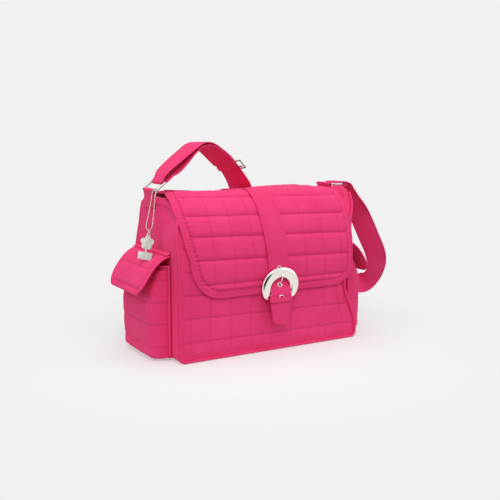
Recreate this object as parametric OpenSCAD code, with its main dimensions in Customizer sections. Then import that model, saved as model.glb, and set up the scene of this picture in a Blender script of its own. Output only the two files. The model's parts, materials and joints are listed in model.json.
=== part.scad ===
// Quilted flap bag with a buckled closing strap, two side pockets and a shoulder strap.
// Millimetres. Z is up, the front faces -Y, the origin is the middle of the base on the floor.

/* [Body] */
// Width over the two side gussets
body_w = 394; // [360:1:440]
// Depth of the base, from the front face to the back face
body_d = 196; // [180:1:220]
// Height of the body under the flap
body_h = 294; // [280:1:330]
// Depth of the flat top between the front and back slopes
top_d = 73; // [65:1:90]
// How far the middle of the top sits behind the middle of the base
top_shift = 18; // [10:1:26]
// Height at which the front and the back begin to slope in
shoulder_h = 150; // [140:1:165]
// Radius of the lower corners of the front and back panels
corner_r = 12; // [9:1:20]
// Thickness of a padded panel
panel_t = 4; // [3:0.5:6]
// Radius of the piping along the seams
piping_r = 2.5; // [1.5:0.25:3.5]
// Thickness of the lining cloth
lining_t = 0.8; // [0.6:0.1:1.5]
// Slope angle at which the front panel ends under the flap
front_end = 62; // [50:1:75]
// Width of the stiff board on the base
board_w = 340; // [250:5:350]
// Depth of the stiff board on the base
board_d = 160; // [120:5:170]
// Thickness of the stiff board on the base
board_t = 2; // [1.5:0.5:4]

/* [Flap] */
// Slope angle of the back at which the flap is sewn on
hinge_angle = 65; // [55:1:75]
// Width of the flap along its sewn edge
flap_hinge_w = 328; // [300:1:340]
// Width of the flap at the front crease of the top
flap_crease_w = 344; // [330:1:346]
// Width of the flap just in front of that crease
flap_top_w = 376; // [350:1:384]
// Length over which it narrows towards the crease
flap_neck = 10; // [8:1:14]
// Greatest width of the flap
flap_wide_w = 378; // [360:1:384]
// Height of the greatest width
flap_wide_h = 262; // [240:1:280]
// Width of the flap above its lower corners
flap_low_w = 352; // [330:1:370]
// Height of the flap's lower edge
flap_low_h = 112; // [100:1:124]
// Radius of the flap's lower corners
flap_r = 44; // [25:1:60]
// Thickness of the quilted flap
flap_t = 6; // [4:0.5:9]
// Width of the binding round the flap
binding_w = 7; // [5:0.5:10]

/* [Closing strap] */
// Width of the closing strap
closure_w = 45; // [36:1:46]
// Thickness of the closing strap
closure_t = 2.5; // [2:0.25:3]
// Height of the strap's lower end
tail_h = 52; // [40:1:60]
// Height at which the tail begins to narrow
tail_taper_h = 84; // [76:1:88]
// Width of the tail just above its rounded end
tail_end_w = 34; // [24:1:38]
// Height of the eyelet that the prong goes through
eyelet_h = 123.5; // [122:0.5:125]
// Step from that eyelet up to the next one
eyelet_step_up = 35; // [32:1:42]
// Step from that eyelet down to the next one
eyelet_step_down = 21.5; // [21:0.5:26]
// Radius of the hole in an eyelet
eyelet_hole_r = 3.2; // [3:0.1:3.6]
// Outer radius of an eyelet
eyelet_r = 4.8; // [4.2:0.1:6]

/* [Buckle] */
// Height of the heel bar that the prong turns on
heel_h = 106; // [104:0.5:107]
// Width over the crescent frame
frame_w = 78; // [70:1:90]
// Height of the crescent's oval outline
frame_tall = 63; // [58:1:70]
// Width of the oval window in the frame
window_w = 49.6; // [49.4:0.2:54]
// Height of the oval window's outline
window_tall = 52.8; // [48:0.4:56]
// How far the oval outline reaches below the heel bar
frame_drop = 10; // [8:0.5:12]
// How far the crescent's tips reach below the heel bar
frame_foot = 2.6; // [2:0.1:4]
// Height of the crescent at its top
crescent_h = 19.6; // [19:0.2:22]
// Thickness of the frame
frame_t = 3.6; // [3:0.1:4]
// Radius of the heel bar
heel_r = 1.3; // [1:0.1:1.6]
// Radius of the prong
prong_r = 1.2; // [1:0.1:1.4]
// Width of the cloth tab that holds the heel bar
chape_w = 42; // [34:1:44]
// Height of the keeper loop's lower edge
keeper_h = 90; // [84:1:91]
// Length of the keeper loop along the strap
keeper_len = 10; // [8:0.5:10.5]
// Radius of the hidden magnetic snap
snap_r = 8; // [6:0.5:10]
// Height of the hidden magnetic snap
snap_h = 132; // [126:1:138]

/* [Side pockets] */
// Width of a pocket along the gusset
pocket_w = 146; // [130:1:150]
// How far the pocket's middle sits behind the middle of the base
pocket_shift = 10; // [4:1:14]
// Height of the pocket's lower edge
pocket_low_h = 5; // [3:1:12]
// Height of the pocket's mouth
pocket_top_h = 174; // [160:1:176]
// How far the pocket stands out at its belly
pocket_belly = 39; // [30:1:42]
// How far the pocket stands out at its lower edge
pocket_base = 36; // [26:1:38]
// How far the pocket stands out at its mouth
pocket_mouth = 14; // [12:1:15]
// Height of the pocket's belly
pocket_belly_h = 95; // [80:1:110]
// Wall thickness of a pocket
pocket_t = 3; // [2:0.5:4]
// Height of the hem round the mouth
hem_h = 8; // [6:0.5:12]
// Radius of the pocket's upright edges
pocket_r = 13; // [10:1:13.5]
// Height of a pocket flap's sewn edge
pocket_flap_h = 189; // [186:1:192]
// Height of a pocket flap's lower edge
pocket_flap_low_h = 124; // [118:1:132]
// How far a pocket flap's lower edge stands out from the gusset
pocket_flap_reach = 60; // [52:1:64]
// How far a pocket flap's bend stands out from the gusset
pocket_flap_bend = 29; // [24:1:32]
// Height of a pocket flap's bend
pocket_flap_bend_h = 180; // [176:1:184]
// Distance of a pocket flap's sewn edge from the gusset
pocket_flap_gap = 1.6; // [1.4:0.1:2]
// Width of a pocket flap along the gusset
pocket_flap_w = 156; // [150:1:160]
// Thickness of a pocket flap
pocket_flap_t = 4; // [3:0.5:5]
// Radius of a pocket flap's lower corners
pocket_flap_r = 22; // [12:1:30]

/* [Shoulder strap] */
// Width of the webbing
web_w = 46; // [42:1:48]
// Thickness of the webbing
web_t = 2.4; // [1.8:0.1:2.6]
// Radius of the wire of the rectangular rings
ring_r = 2; // [1.6:0.1:2.2]
// Length of a ring between its end bars
ring_len = 62; // [60:1:66]
// Distance between the two long bars of a ring
ring_gap = 24; // [22:0.5:28]
// Radius of the ring's corners
ring_corner = 4; // [3:0.5:5]
// Lean of the left ring from upright, towards the middle
ring_lean = 54; // [45:1:58]
// Rise of the doubled webbing above the left ring, from level
web_rise = 42; // [38:1:46]
// Height of the ring's bar in its tab above the body
tab_h = 10; // [8:0.5:12]
// Length of the tab sewn down on the gusset
tab_len = 34; // [24:1:44]
// Thickness of one layer of the tab
tab_t = 1.25; // [1:0.05:1.5]
// Width of the slider frame
slider_w = 60; // [57:1:64]
// Length of the slider frame along the strap
slider_len = 28; // [24:1:32]
// Thickness of the slider's bars
slider_t = 2.2; // [1.8:0.1:2.6]
// How far the slider sits off the middle of the strap, towards its back edge
slider_shift = 4; // [0:0.5:4]
// Thickness of the webbing end folded round the slider's middle bar
slider_loop_t = 0.8; // [0.6:0.1:1.2]

/* [Chain and charm] */
// Radius of a chain bead
bead_r = 1.2; // [1:0.05:1.3]
// Distance between beads
bead_step = 3.2; // [3:0.1:4]
// Radius of the wire between beads
bead_wire_r = 0.45; // [0.3:0.05:0.6]
// Radius of the jump ring that carries the charm
jump_r = 4.6; // [4.4:0.1:5]
// Wire radius of the jump ring
jump_wire_r = 0.8; // [0.6:0.05:0.9]
// Thickness of the charm
charm_t = 2.4; // [1.8:0.1:3]
// Radius of the charm's flower
flower_r = 13; // [10:0.5:14]
// Number of petals
petals = 5; // [4:1:7]
// Width of the charm's bar plate
plate_w = 26; // [20:1:30]
// Height of the charm's bar plate
plate_h = 13; // [9:0.5:15]
// Length of the stem between the flower and the plate
stem_len = 7; // [5:0.5:10]

/* [Hidden] */
$fn = 48;

pink = [0.90, 0.23, 0.47];
deep_pink = [0.80, 0.18, 0.40];
pale_pink = [0.93, 0.55, 0.66];
chrome = [0.80, 0.80, 0.82];
old_silver = [0.62, 0.60, 0.57];
board_grey = [0.25, 0.25, 0.27];

// Gap left at a seam between two sewn panels
seam = 0.2;
// Gap between layers that lie on each other
layer = 0.3;
// Gap between the piping and the panel it lies on
piping_gap = 0.6;
// Gap between the body and the flap that lies on it
flap_rest = 0.5;
// Height that clears the whole object, for cutting shapes
tall = 600;
// Steps along a slope, along a rounded corner and along one stretch of webbing
slope_steps = 12;
corner_steps = 8;
web_steps = 5;

// Side profile of the body: two quarter ovals above upright walls
top_back = top_shift + top_d / 2;
top_front = top_shift - top_d / 2;
front_reach = body_d / 2 + top_front;
back_reach = body_d / 2 - top_back;
rise = body_h - shoulder_h;
half_w = body_w / 2;

// Layers of the flap, measured outwards from the body
flap_lining_in = flap_rest;
flap_lining_out = flap_lining_in + lining_t;
flap_in = flap_lining_out + layer;
flap_out = flap_in + flap_t;
closure_in = flap_out + layer;
closure_out = closure_in + closure_t;
binding_proud = 0.4;
// Half the gap where the flap folds, and the angle that leaves a gap at its seam
fold_gap = 0.3;
hinge_gap = 0.3;
fold_end = 90 - asin(fold_gap / front_reach);

// Places on the closing strap, measured outwards from the flap
heel_out = 5;
bow_top = 135;
bow = heel_out + 2.7;
front_face = -body_d / 2 - flap_out;
frame_lean = 7;
web_loop_r = ring_r + layer;
ring_side = ring_len / 2;
tab_x = half_w + layer + tab_t;
ring_z = body_h + tab_h;
strap_y = top_shift;
left_leg_len = 5;
left_bar = [-tab_x + ring_gap * sin(ring_lean), ring_z + ring_gap * cos(ring_lean)];
right_bar = [tab_x + ring_gap, ring_z];
web_leg = web_loop_r + web_t / 2;
right_leg_len = 26;
right_drop = 32;

// Point on the front slope at angle t, q outside the body, as depth and height
function front_point(t, q) =
    [top_front - (front_reach + q) * cos(t), shoulder_h + (rise + q) * sin(t)];
// Point on the back slope
function back_point(t, q) =
    [top_back + (back_reach + q) * cos(t), shoulder_h + (rise + q) * sin(t)];
function front_curve(q, t0, t1) =
    [for (i = [0:slope_steps]) front_point(t0 + (t1 - t0) * i / slope_steps, q)];
function back_curve(q, t0, t1) =
    [for (i = [0:slope_steps]) back_point(t0 + (t1 - t0) * i / slope_steps, q)];
function arc(c, r, a0, a1) =
    [for (i = [0:corner_steps]) let (a = a0 + (a1 - a0) * i / corner_steps) c + r * [cos(a), sin(a)]];
function oval(c, w, h, n = 48) =
    [for (i = [0:n - 1]) c + [w / 2 * cos(360 * i / n), h / 2 * sin(360 * i / n)]];
function turned_back(list) = [for (i = [len(list) - 1:-1:0]) list[i]];
function unit(v) = v / norm(v);
function ease(s) = let (u = min(max(s, 0), 1)) u * u * (3 - 2 * u);

// Whole side profile, q outside the body
function side_profile(q) = concat([[-body_d / 2 - q, -1]], front_curve(q, 0, 90),
    back_curve(q, 90, 0), [[body_d / 2 + q, -1]]);
// Side profile of the inside, open at the mouth up to a height
function mouth_profile(q, top) =
    let (f = front_point(front_end, q), b = back_point(hinge_angle, q))
    concat([[-body_d / 2 - q, -1]], front_curve(q, 0, front_end), [[f.x, max(top, f.y)]],
        [[b.x, max(top, b.y)]], back_curve(q, hinge_angle, 0), [[body_d / 2 + q, -1]]);
// Band of the front between two distances from the body, from a low height up to an angle
function front_band(q0, q1, low, end) = concat([[-body_d / 2 - q1, low]], front_curve(q1, 0, end),
    turned_back(front_curve(q0, 0, end)), [[-body_d / 2 - q0, low]]);
function back_band(q0, q1, low, end) = concat([[body_d / 2 + q1, low]], back_curve(q1, 0, end),
    turned_back(back_curve(q0, 0, end)), [[body_d / 2 + q0, low]]);
// Band over the top, from the sewn edge of the flap to its front crease
function top_band(q0, q1) = concat(back_curve(q1, hinge_angle + hinge_gap, 90),
    [[top_front + fold_gap, body_h + q1], [top_front + fold_gap, body_h + q0]],
    turned_back(back_curve(q0, hinge_angle + hinge_gap, 90)));
// Front outline of the body with rounded lower corners
function body_outline(inset) =
    let (c = half_w - corner_r, r = corner_r - inset)
    concat([[half_w - inset, tall], [-half_w + inset, tall]],
        arc([-c, corner_r], r, 180, 270), arc([c, corner_r], r, 270, 360));
// Front outline of the flap with rounded lower corners
function flap_outline(inset) =
    let (c = flap_low_w / 2 - flap_r, z = flap_low_h + flap_r, r = flap_r - inset)
    concat([[flap_wide_w / 2 - inset, flap_wide_h], [flap_top_w / 2 - inset, body_h],
            [flap_top_w / 2 - inset, tall], [-flap_top_w / 2 + inset, tall],
            [-flap_top_w / 2 + inset, body_h], [-flap_wide_w / 2 + inset, flap_wide_h]],
        arc([-c, z], r, 180, 270), arc([c, z], r, 270, 360));
// Top outline of the flap, as width and depth, run on past both ends
top_run = 20;
hinge_y = back_point(hinge_angle, flap_out).x;
function top_half(y) =
    (flap_crease_w + (flap_hinge_w - flap_crease_w) * (y - top_front) / (hinge_y - top_front)) / 2;
function top_outline(inset) =
    let (b = hinge_y + top_run, f = top_front - top_run)
    [[top_half(b) - inset, b], [top_half(f) - inset, f], [inset - top_half(f), f], [inset - top_half(b), b]];
// Outline of the flap's front from above, narrowing to the crease
function neck_outline(inset) =
    let (n = top_front - flap_neck, w = flap_wide_w / 2 - inset, c = flap_crease_w / 2 - inset)
    [[w, -body_d], [w, n], [c, top_front], [c, 0], [-c, 0], [-c, top_front], [-w, n], [-w, -body_d]];
// Distance of the closing strap's inner face from the flap at a height below the shoulder
function strap_out(z) = layer + bow * ease((bow_top - z) / (bow_top - heel_h));
function strap_run(extra) = [for (i = [0:slope_steps])
    let (z = bow_top + (heel_h - bow_top) * i / slope_steps) [front_face - strap_out(z) - extra, z]];
function strap_tilt(z) = atan((strap_out(z + 1) - strap_out(z - 1)) / 2);

// How far a pocket stands out at a height
function pocket_out(z) = z > pocket_belly_h
    ? pocket_mouth + (pocket_belly - pocket_mouth)
        * cos(90 * (z - pocket_belly_h) / (pocket_top_h - pocket_belly_h))
    : pocket_base + (pocket_belly - pocket_base)
        * sin(90 * (z - pocket_low_h) / (pocket_belly_h - pocket_low_h));
// Pocket wall from the side: distance from the middle and height, q inside the outer face
function pocket_profile(q, low, high) = concat([[-half_w, low], [-half_w, high]],
    [for (i = [slope_steps:-1:0]) let (z = low + (high - low) * i / slope_steps)
        [-half_w - pocket_out(min(max(z, pocket_low_h), pocket_top_h)) + q, z]]);
// Pocket seen from above with rounded upright edges, q inside the outer face
function pocket_plan(q) =
    let (x = half_w + seam, y = pocket_w / 2 - q - pocket_r, d = pocket_belly + 2)
    concat([for (i = [0:corner_steps]) let (a = 90 * i / corner_steps)
            [-x - d * sin(a), y + pocket_r * cos(a)]],
        [for (i = [corner_steps:-1:0]) let (a = 90 * i / corner_steps)
            [-x - d * sin(a), -y - pocket_r * cos(a)]]);
// Middle line of a pocket flap from the gusset outwards and down
pocket_flap_line = [[-half_w - pocket_flap_gap, pocket_flap_h],
    [-half_w - pocket_flap_bend, pocket_flap_bend_h],
    [-half_w - pocket_flap_reach, pocket_flap_low_h]];
function curve3(p, u) = (1 - u) * (1 - u) * p[0] + 2 * u * (1 - u) * p[1] + u * u * p[2];
function curve3_side(p, u) =
    let (d = unit((1 - u) * (p[1] - p[0]) + u * (p[2] - p[1]))) [-d.y, d.x];
function pocket_flap_band(q0, q1) = concat(
    [for (i = [0:slope_steps]) let (u = i / slope_steps)
        curve3(pocket_flap_line, u) + q1 * curve3_side(pocket_flap_line, u)],
    [for (i = [slope_steps:-1:0]) let (u = i / slope_steps)
        curve3(pocket_flap_line, u) + q0 * curve3_side(pocket_flap_line, u)]);

// Smooth curve through a list of stations
function gap(a, b) = norm(place(b) - place(a));
function station(a, b, c, d, u) =
    let (l = gap(b, c), from = (c - a) * l / (gap(a, b) + l), to = (d - b) * l / (l + gap(c, d)))
    b + (c - b) * u * u * (3 - 2 * u) + from * u * (1 - u) * (1 - u) - to * u * u * (1 - u);
function smooth(s, n) = let (m = len(s) - 1) concat(
    [for (i = [0:m - 1]) for (j = [0:n - 1])
        station(s[max(i - 1, 0)], s[i], s[i + 1], s[min(i + 2, m)], j / n)], [s[m]]);
function place(s) = [s[0], s[1], s[2]];
function side_of(s) = [s[3], s[4], s[5]];
function heading(p, i) = unit(p[min(i + 1, len(p) - 1)] - p[max(i - 1, 0)]);
// Rings of a flat band along stations that give a place and the way its width runs
function band_rings(s, w, t) = let (p = [for (q = s) place(q)])
    [for (i = [0:len(s) - 1]) let (d = heading(p, i), a = side_of(s[i]),
        b = unit(a - (a * d) * d), n = cross(d, b))
        [for (k = [[1, 1], [-1, 1], [-1, -1], [1, -1]]) p[i] + k.x * w / 2 * b + k.y * t / 2 * n]];
// Rings of a round tube along a path that never runs along the given way
function tube_rings(p, r, way, n = 8) = [for (i = [0:len(p) - 1])
    let (d = heading(p, i), a = unit(cross(d, way)), b = cross(d, a))
    [for (k = [0:n - 1]) p[i] + r * (cos(360 * k / n) * a + sin(360 * k / n) * b)]];

// Solid skinned over a list of rings
module skin(rings) {
    n = len(rings[0]);
    last = (len(rings) - 1) * n;
    sides = [for (i = [0:len(rings) - 2]) for (k = [0:n - 1])
        let (a = i * n + k, b = i * n + (k + 1) % n) each [[a, b + n, b], [a, a + n, b + n]]];
    near = [for (k = [1:n - 2]) [0, k, k + 1]];
    far = [for (k = [1:n - 2]) [last, last + k + 1, last + k]];
    polyhedron(points = [for (r = rings) each r], faces = concat(sides, near, far), convexity = 10);
}
// Outline of depth and height drawn out across the width
module across(points, w) rotate([90, 0, 90]) linear_extrude(height = w, center = true) polygon(points);
// Outline of width and height drawn out through the depth
module through(points, d) rotate([90, 0, 0]) linear_extrude(height = d, center = true) polygon(points);
module web(stations) skin(band_rings(smooth(stations, web_steps), web_w, web_t));
// Right-hand copy of a left-hand piece
module right_hand() mirror([1, 0, 0]) children();

// Body panels
module base_panel() color(pink) intersection() {
    across(side_profile(-panel_t - seam), body_w - 2 * corner_r - 2 * seam);
    translate([-half_w, -body_d, 0]) cube([body_w, 2 * body_d, panel_t]);
}
module base_board() color(board_grey)
    translate([0, 0, panel_t + seam + lining_t + layer]) linear_extrude(height = board_t)
        square([board_w, board_d], center = true);
module front_panel() color(pink) difference() {
    intersection() {
        across(front_band(-panel_t, 0, -1, front_end), body_w + 2);
        through(body_outline(0), 2 * body_d);
    }
    translate([0, -body_d / 2, snap_h]) rotate([90, 0, 0])
        cylinder(h = 3 * panel_t, r = snap_r + layer, center = true);
}
module back_panel() color(pink) intersection() {
    across(back_band(-panel_t, 0, -1, hinge_angle), body_w + 2);
    through(body_outline(0), 2 * body_d);
}
module gusset() color(pink) intersection() {
    difference() {
        through(body_outline(0), 2 * body_d);
        through(body_outline(panel_t), 2 * body_d + 2);
    }
    across(side_profile(-panel_t - seam), 2 * body_w);
    translate([-half_w - 1, -body_d, -1]) cube([corner_r + 1, 2 * body_d, tall]);
}
module left_gusset() gusset();
module right_gusset() right_hand() gusset();
module lining() color(pale_pink) difference() {
    intersection() {
        through(body_outline(panel_t + seam), 2 * body_d);
        across(mouth_profile(-panel_t - seam, 0), 2 * body_w);
    }
    intersection() {
        through(body_outline(panel_t + seam + lining_t), 2 * body_d);
        across(mouth_profile(-panel_t - seam - lining_t, tall), 2 * body_w);
    }
}
// Path of the piping round three sides of a panel, from slope points
function piping_path(slope, y) =
    let (gap = piping_r + layer, x = half_w - gap, c = half_w - corner_r, r = corner_r - gap)
    concat([for (p = turned_back(slope)) [-x, p.x, p.y]],
        [for (p = arc([-c, corner_r], r, 180, 270)) [p.x, y, p.y]],
        [for (p = arc([c, corner_r], r, 270, 360)) [p.x, y, p.y]],
        [for (p = slope) [x, p.x, p.y]]);
module front_piping() color(deep_pink) skin(tube_rings(
    piping_path(front_curve(piping_r + piping_gap, 0, front_end), -body_d / 2 - piping_r - piping_gap),
    piping_r, [0, 1, 0]));
module back_piping() color(deep_pink) skin(tube_rings(
    piping_path(back_curve(piping_r + piping_gap, 0, hinge_angle), body_d / 2 + piping_r + piping_gap),
    piping_r, [0, 1, 0]));

// Side pockets
module pocket_shell(q, low, high) intersection() {
    through(pocket_profile(q, low, high), 2 * body_d);
    translate([0, pocket_shift, low]) linear_extrude(height = high - low) polygon(pocket_plan(q));
}
pocket_hem_low = pocket_top_h - hem_h;
module pocket() color(pink) difference() {
    pocket_shell(0, pocket_low_h, pocket_hem_low - seam);
    pocket_shell(pocket_t, pocket_low_h + pocket_t, tall);
}
module pocket_hem() color(deep_pink) difference() {
    pocket_shell(-binding_proud, pocket_hem_low, pocket_top_h);
    pocket_shell(pocket_t, pocket_low_h, tall);
}
module pocket_piping() {
    x = -half_w - piping_r - seam;
    y = pocket_w / 2 + binding_proud + layer + piping_r;
    color(deep_pink) for (s = [-1, 1]) translate([x, pocket_shift + s * y, pocket_low_h])
        cylinder(h = pocket_top_h - pocket_low_h, r = piping_r);
}
module left_pocket() pocket();
module right_pocket() right_hand() pocket();
module left_pocket_hem() pocket_hem();
module right_pocket_hem() right_hand() pocket_hem();
module left_pocket_piping() pocket_piping();
module right_pocket_piping() right_hand() pocket_piping();

// Pocket flaps: a curved sheet cut to an outline seen from the side
function pocket_flap_outline(inset) =
    let (w = pocket_flap_w / 2, r = pocket_flap_r, z = pocket_flap_line[2].y + r - pocket_flap_t)
    concat([[w - inset, tall], [-w + inset, tall]], arc([-w + r, z], r - inset, 180, 270),
        arc([w - r, z], r - inset, 270, 360));
module pocket_flap_sheet(q, inset) intersection() {
    through(pocket_flap_band(-pocket_flap_t / 2 - q, pocket_flap_t / 2 + q), 2 * body_d);
    translate([0, pocket_shift, 0]) across(pocket_flap_outline(inset), 4 * body_w);
}
module pocket_flap() color(pink) pocket_flap_sheet(0, binding_w + seam);
module pocket_binding() color(deep_pink) difference() {
    pocket_flap_sheet(binding_proud, 0);
    translate([0, pocket_shift, 0]) across(pocket_flap_outline(binding_w), 4 * body_w);
}
module left_pocket_flap() pocket_flap();
module right_pocket_flap() right_hand() pocket_flap();
module left_pocket_binding() pocket_binding();
module right_pocket_binding() right_hand() pocket_binding();

// Flap: a top and a front that fold at the crease, with linings and bindings
module top_sheet(q0, q1, inset) intersection() {
    across(top_band(q0, q1), body_w);
    linear_extrude(height = tall) polygon(top_outline(inset));
}
module front_cut(inset) intersection() {
    through(flap_outline(inset), 4 * body_d);
    linear_extrude(height = tall) polygon(neck_outline(inset));
}
module front_sheet(q0, q1, inset) intersection() {
    across(front_band(q0, q1, flap_low_h - 1, fold_end), 2 * body_w);
    front_cut(inset);
}
module flap_top() color(pink) top_sheet(flap_in, flap_out, binding_w + seam);
module flap_top_lining() color(pale_pink) top_sheet(flap_lining_in, flap_lining_out, binding_w + seam);
module flap_top_binding() color(deep_pink) difference() {
    top_sheet(flap_lining_in, flap_out + binding_proud, 0);
    translate([0, 0, -1]) linear_extrude(height = tall + 2) polygon(top_outline(binding_w));
}
module flap_front() color(pink) difference() {
    front_sheet(flap_in, flap_out, binding_w + seam);
    translate([0, -body_d / 2 - flap_in, snap_h]) rotate([90, 0, 0])
        cylinder(h = flap_t, r = snap_r + layer, center = true);
}
module flap_lining() color(pale_pink) difference() {
    front_sheet(flap_lining_in, flap_lining_out, binding_w + seam);
    translate([0, -body_d / 2, snap_h]) rotate([90, 0, 0])
        cylinder(h = 4 * panel_t, r = snap_r + layer, center = true);
}
module flap_binding() color(deep_pink) difference() {
    front_sheet(flap_lining_in, flap_out + binding_proud, 0);
    front_cut(binding_w);
}
module snap_socket() color(chrome) translate([0, -body_d / 2 - layer / 2, snap_h]) rotate([-90, 0, 0])
    cylinder(h = panel_t, r = snap_r);
module snap_stud() color(chrome) translate([0, -body_d / 2 - flap_rest, snap_h]) rotate([90, 0, 0])
    cylinder(h = flap_t / 2 + lining_t, r = snap_r);

// Closing strap with its eyelets, buckle and keeper
module closure_strap_top() color(deep_pink) across(top_band(closure_in, closure_out), closure_w);
function tail_outline() =
    let (e = tail_end_w / 2, z = tail_h + e / 2)
    concat([[closure_w / 2, tall], [-closure_w / 2, tall], [-closure_w / 2, tail_taper_h]],
        [for (i = [0:corner_steps]) let (a = 180 + 180 * i / corner_steps)
            [e * cos(a), z + e / 2 * sin(a)]], [[closure_w / 2, tail_taper_h]]);
module closure_strap() color(deep_pink) difference() {
    intersection() {
        across(concat(turned_back(front_curve(closure_out, 0, fold_end)), strap_run(closure_t),
            [[front_face - layer - bow - closure_t, tail_h - 1], [front_face - layer - bow, tail_h - 1]],
            turned_back(strap_run(0)), front_curve(closure_in, 0, fold_end)), body_w);
        through(tail_outline(), 3 * body_d);
    }
    for (z = [eyelet_h + eyelet_step_up, eyelet_h, eyelet_h - eyelet_step_down])
        at_eyelet(z) cylinder(h = 8 * closure_t, r = eyelet_hole_r, center = true);
}
// Frame square to the strap's outer face at a height
module at_eyelet(z) {
    above = z > bow_top;
    t = asin(max(z - shoulder_h, 0) / (rise + closure_out));
    p = above ? front_point(t, closure_out) : [front_face - strap_out(z) - closure_t, z];
    tilt = above ? -atan((front_reach + closure_out) / (rise + closure_out) * tan(t)) : strap_tilt(z);
    translate([0, p.x, p.y]) rotate([90 + tilt, 0, 0]) children();
}
module eyelets() color(chrome)
    for (z = [eyelet_h + eyelet_step_up, eyelet_h, eyelet_h - eyelet_step_down]) at_eyelet(z)
        difference() {
            translate([0, 0, layer]) cylinder(h = 0.6, r = eyelet_r);
            cylinder(h = 8 * closure_t, r = eyelet_hole_r, center = true);
        }
heel_y = front_face - heel_out;
window_top = frame_tall - frame_drop - crescent_h;
// Crescent frame cast with its heel bar, leaning out from the bar
module buckle_frame() color(chrome) translate([0, heel_y, heel_h]) rotate([frame_lean, 0, 0]) {
    difference() {
        through(oval([0, frame_tall / 2 - frame_drop], frame_w, frame_tall), frame_t);
        through(oval([0, window_top - window_tall / 2], window_w, window_tall), 2 * frame_t);
        translate([-frame_w, -frame_w, -frame_w - frame_foot]) cube([2 * frame_w, 2 * frame_w, frame_w]);
    }
    rotate([0, 90, 0]) cylinder(h = window_w + 3, r = heel_r, center = true);
}
// Cranked prong: behind the strap, out through the eyelet and over the frame
prong_loop_r = heel_r + 0.15;
module buckle_prong() color(chrome) {
    z = eyelet_h - heel_h;
    mid = strap_out(eyelet_h) + closure_t / 2 - heel_out;
    over = frame_t / 2 + prong_r + layer;
    translate([0, heel_y, heel_h]) {
        difference() {
            rotate([0, 90, 0]) cylinder(h = 5, r = prong_loop_r + 1.3, center = true);
            rotate([0, 90, 0]) cylinder(h = 6, r = prong_loop_r, center = true);
        }
        skin(tube_rings([[0, prong_loop_r + 1.3, 0], [0, heel_out - prong_r - 0.4, z - 4.2],
            [0, -mid - 2.6, z + 2.9], [0, -window_top * tan(frame_lean) - over, window_top - 1.5],
            [0, -(window_top + 4) * tan(frame_lean) - over, window_top + 4]], prong_r, [1, 0, 0]));
    }
}
// Cloth tab in two strips, folded round the heel bar either side of the prong
chape_slot = 8;
module buckle_chape() color(deep_pink) for (s = [-1, 1])
    translate([s * (chape_w + chape_slot) / 4, heel_y, heel_h]) rotate([90, 0, 90])
        linear_extrude(height = (chape_w - chape_slot) / 2, center = true) difference() {
            union() {
                circle(r = heel_r + layer + 1.2);
                translate([heel_out - binding_proud - layer - 1.2, 0]) square([1.2, eyelet_h - heel_h + 2]);
            }
            circle(r = heel_r + layer);
        }
keeper_t = 1.5;
module keeper_loop() color(deep_pink) {
    w = closure_w + 2 * layer;
    d = closure_t + 0.9 + 2 * layer;
    translate([0, front_face - layer - bow + layer, keeper_h]) linear_extrude(height = keeper_len)
        difference() {
            translate([-w / 2 - keeper_t, -d - keeper_t]) square([w + 2 * keeper_t, d + 2 * keeper_t]);
            translate([-w / 2, -d]) square([w, d]);
        }
}

// Rings and the tabs that hold them
module tab() color(deep_pink) translate([-tab_x, strap_y, ring_z]) rotate([90, 0, 0])
    linear_extrude(height = web_w, center = true) difference() {
        union() {
            circle(r = web_loop_r + tab_t);
            translate([-tab_t, -tab_len]) square([2 * tab_t, tab_len]);
        }
        circle(r = web_loop_r);
    }
module left_tab() tab();
module right_tab() right_hand() tab();
// Rectangular wire ring: long bars along Y, its first bar at the origin, the second at +Z
module wire_ring() color(chrome) {
    for (z = [0, ring_gap]) translate([0, 0, z]) rotate([90, 0, 0])
        cylinder(h = ring_len - 2 * ring_corner, r = ring_r, center = true);
    for (s = [-1, 1]) translate([0, s * ring_side, ring_corner])
        cylinder(h = ring_gap - 2 * ring_corner, r = ring_r);
    for (s = [-1, 1]) for (u = [0, 1])
        translate([0, s * (ring_side - ring_corner), u == 0 ? ring_corner : ring_gap - ring_corner])
            rotate([u == 0 ? 180 : 0, 0, 0]) rotate([90, 0, 90])
                rotate([0, 0, (u == 0 ? -s : s) > 0 ? 0 : 90])
                    rotate_extrude(angle = 90) translate([ring_corner, 0]) circle(r = ring_r);
}
module left_ring() translate([-tab_x, strap_y, ring_z]) rotate([0, ring_lean, 0]) wire_ring();
module right_ring() translate([tab_x, strap_y, ring_z]) rotate([0, 90, 0]) wire_ring();

// Shoulder strap
// End of the webbing folded round a ring's bar, two legs at an angle from level
module web_fold(bar, angle, leg) translate([bar.x, strap_y, bar.y]) rotate([90, 0, 0])
    linear_extrude(height = web_w, center = true) rotate(angle) difference() {
        union() {
            circle(r = web_loop_r + web_t);
            for (s = [-1, 1]) translate([0, s * web_leg - web_t / 2]) square([leg, web_t]);
        }
        circle(r = web_loop_r);
        translate([0, -web_loop_r]) square([web_loop_r + 2 * web_t, 2 * web_loop_r]);
    }
module strap_left_loop() color(deep_pink) web_fold(left_bar, web_rise, left_leg_len);
module strap_right_loop() color(deep_pink) web_fold(right_bar, -right_drop, right_leg_len);
// Station on the line of a fold's leg, by side of the bar and distance along the leg
function leg_station(bar, angle, side, along) =
    let (q = bar + side * web_leg * [-sin(angle), cos(angle)] + along * [cos(angle), sin(angle)])
    [q.x, strap_y, q.y, 0, 1, 0];
function left_station(side, along) = leg_station(left_bar, web_rise, side, left_leg_len + layer + along);
function right_station(along) = leg_station(right_bar, -right_drop, 1, right_leg_len + layer + along);
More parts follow.
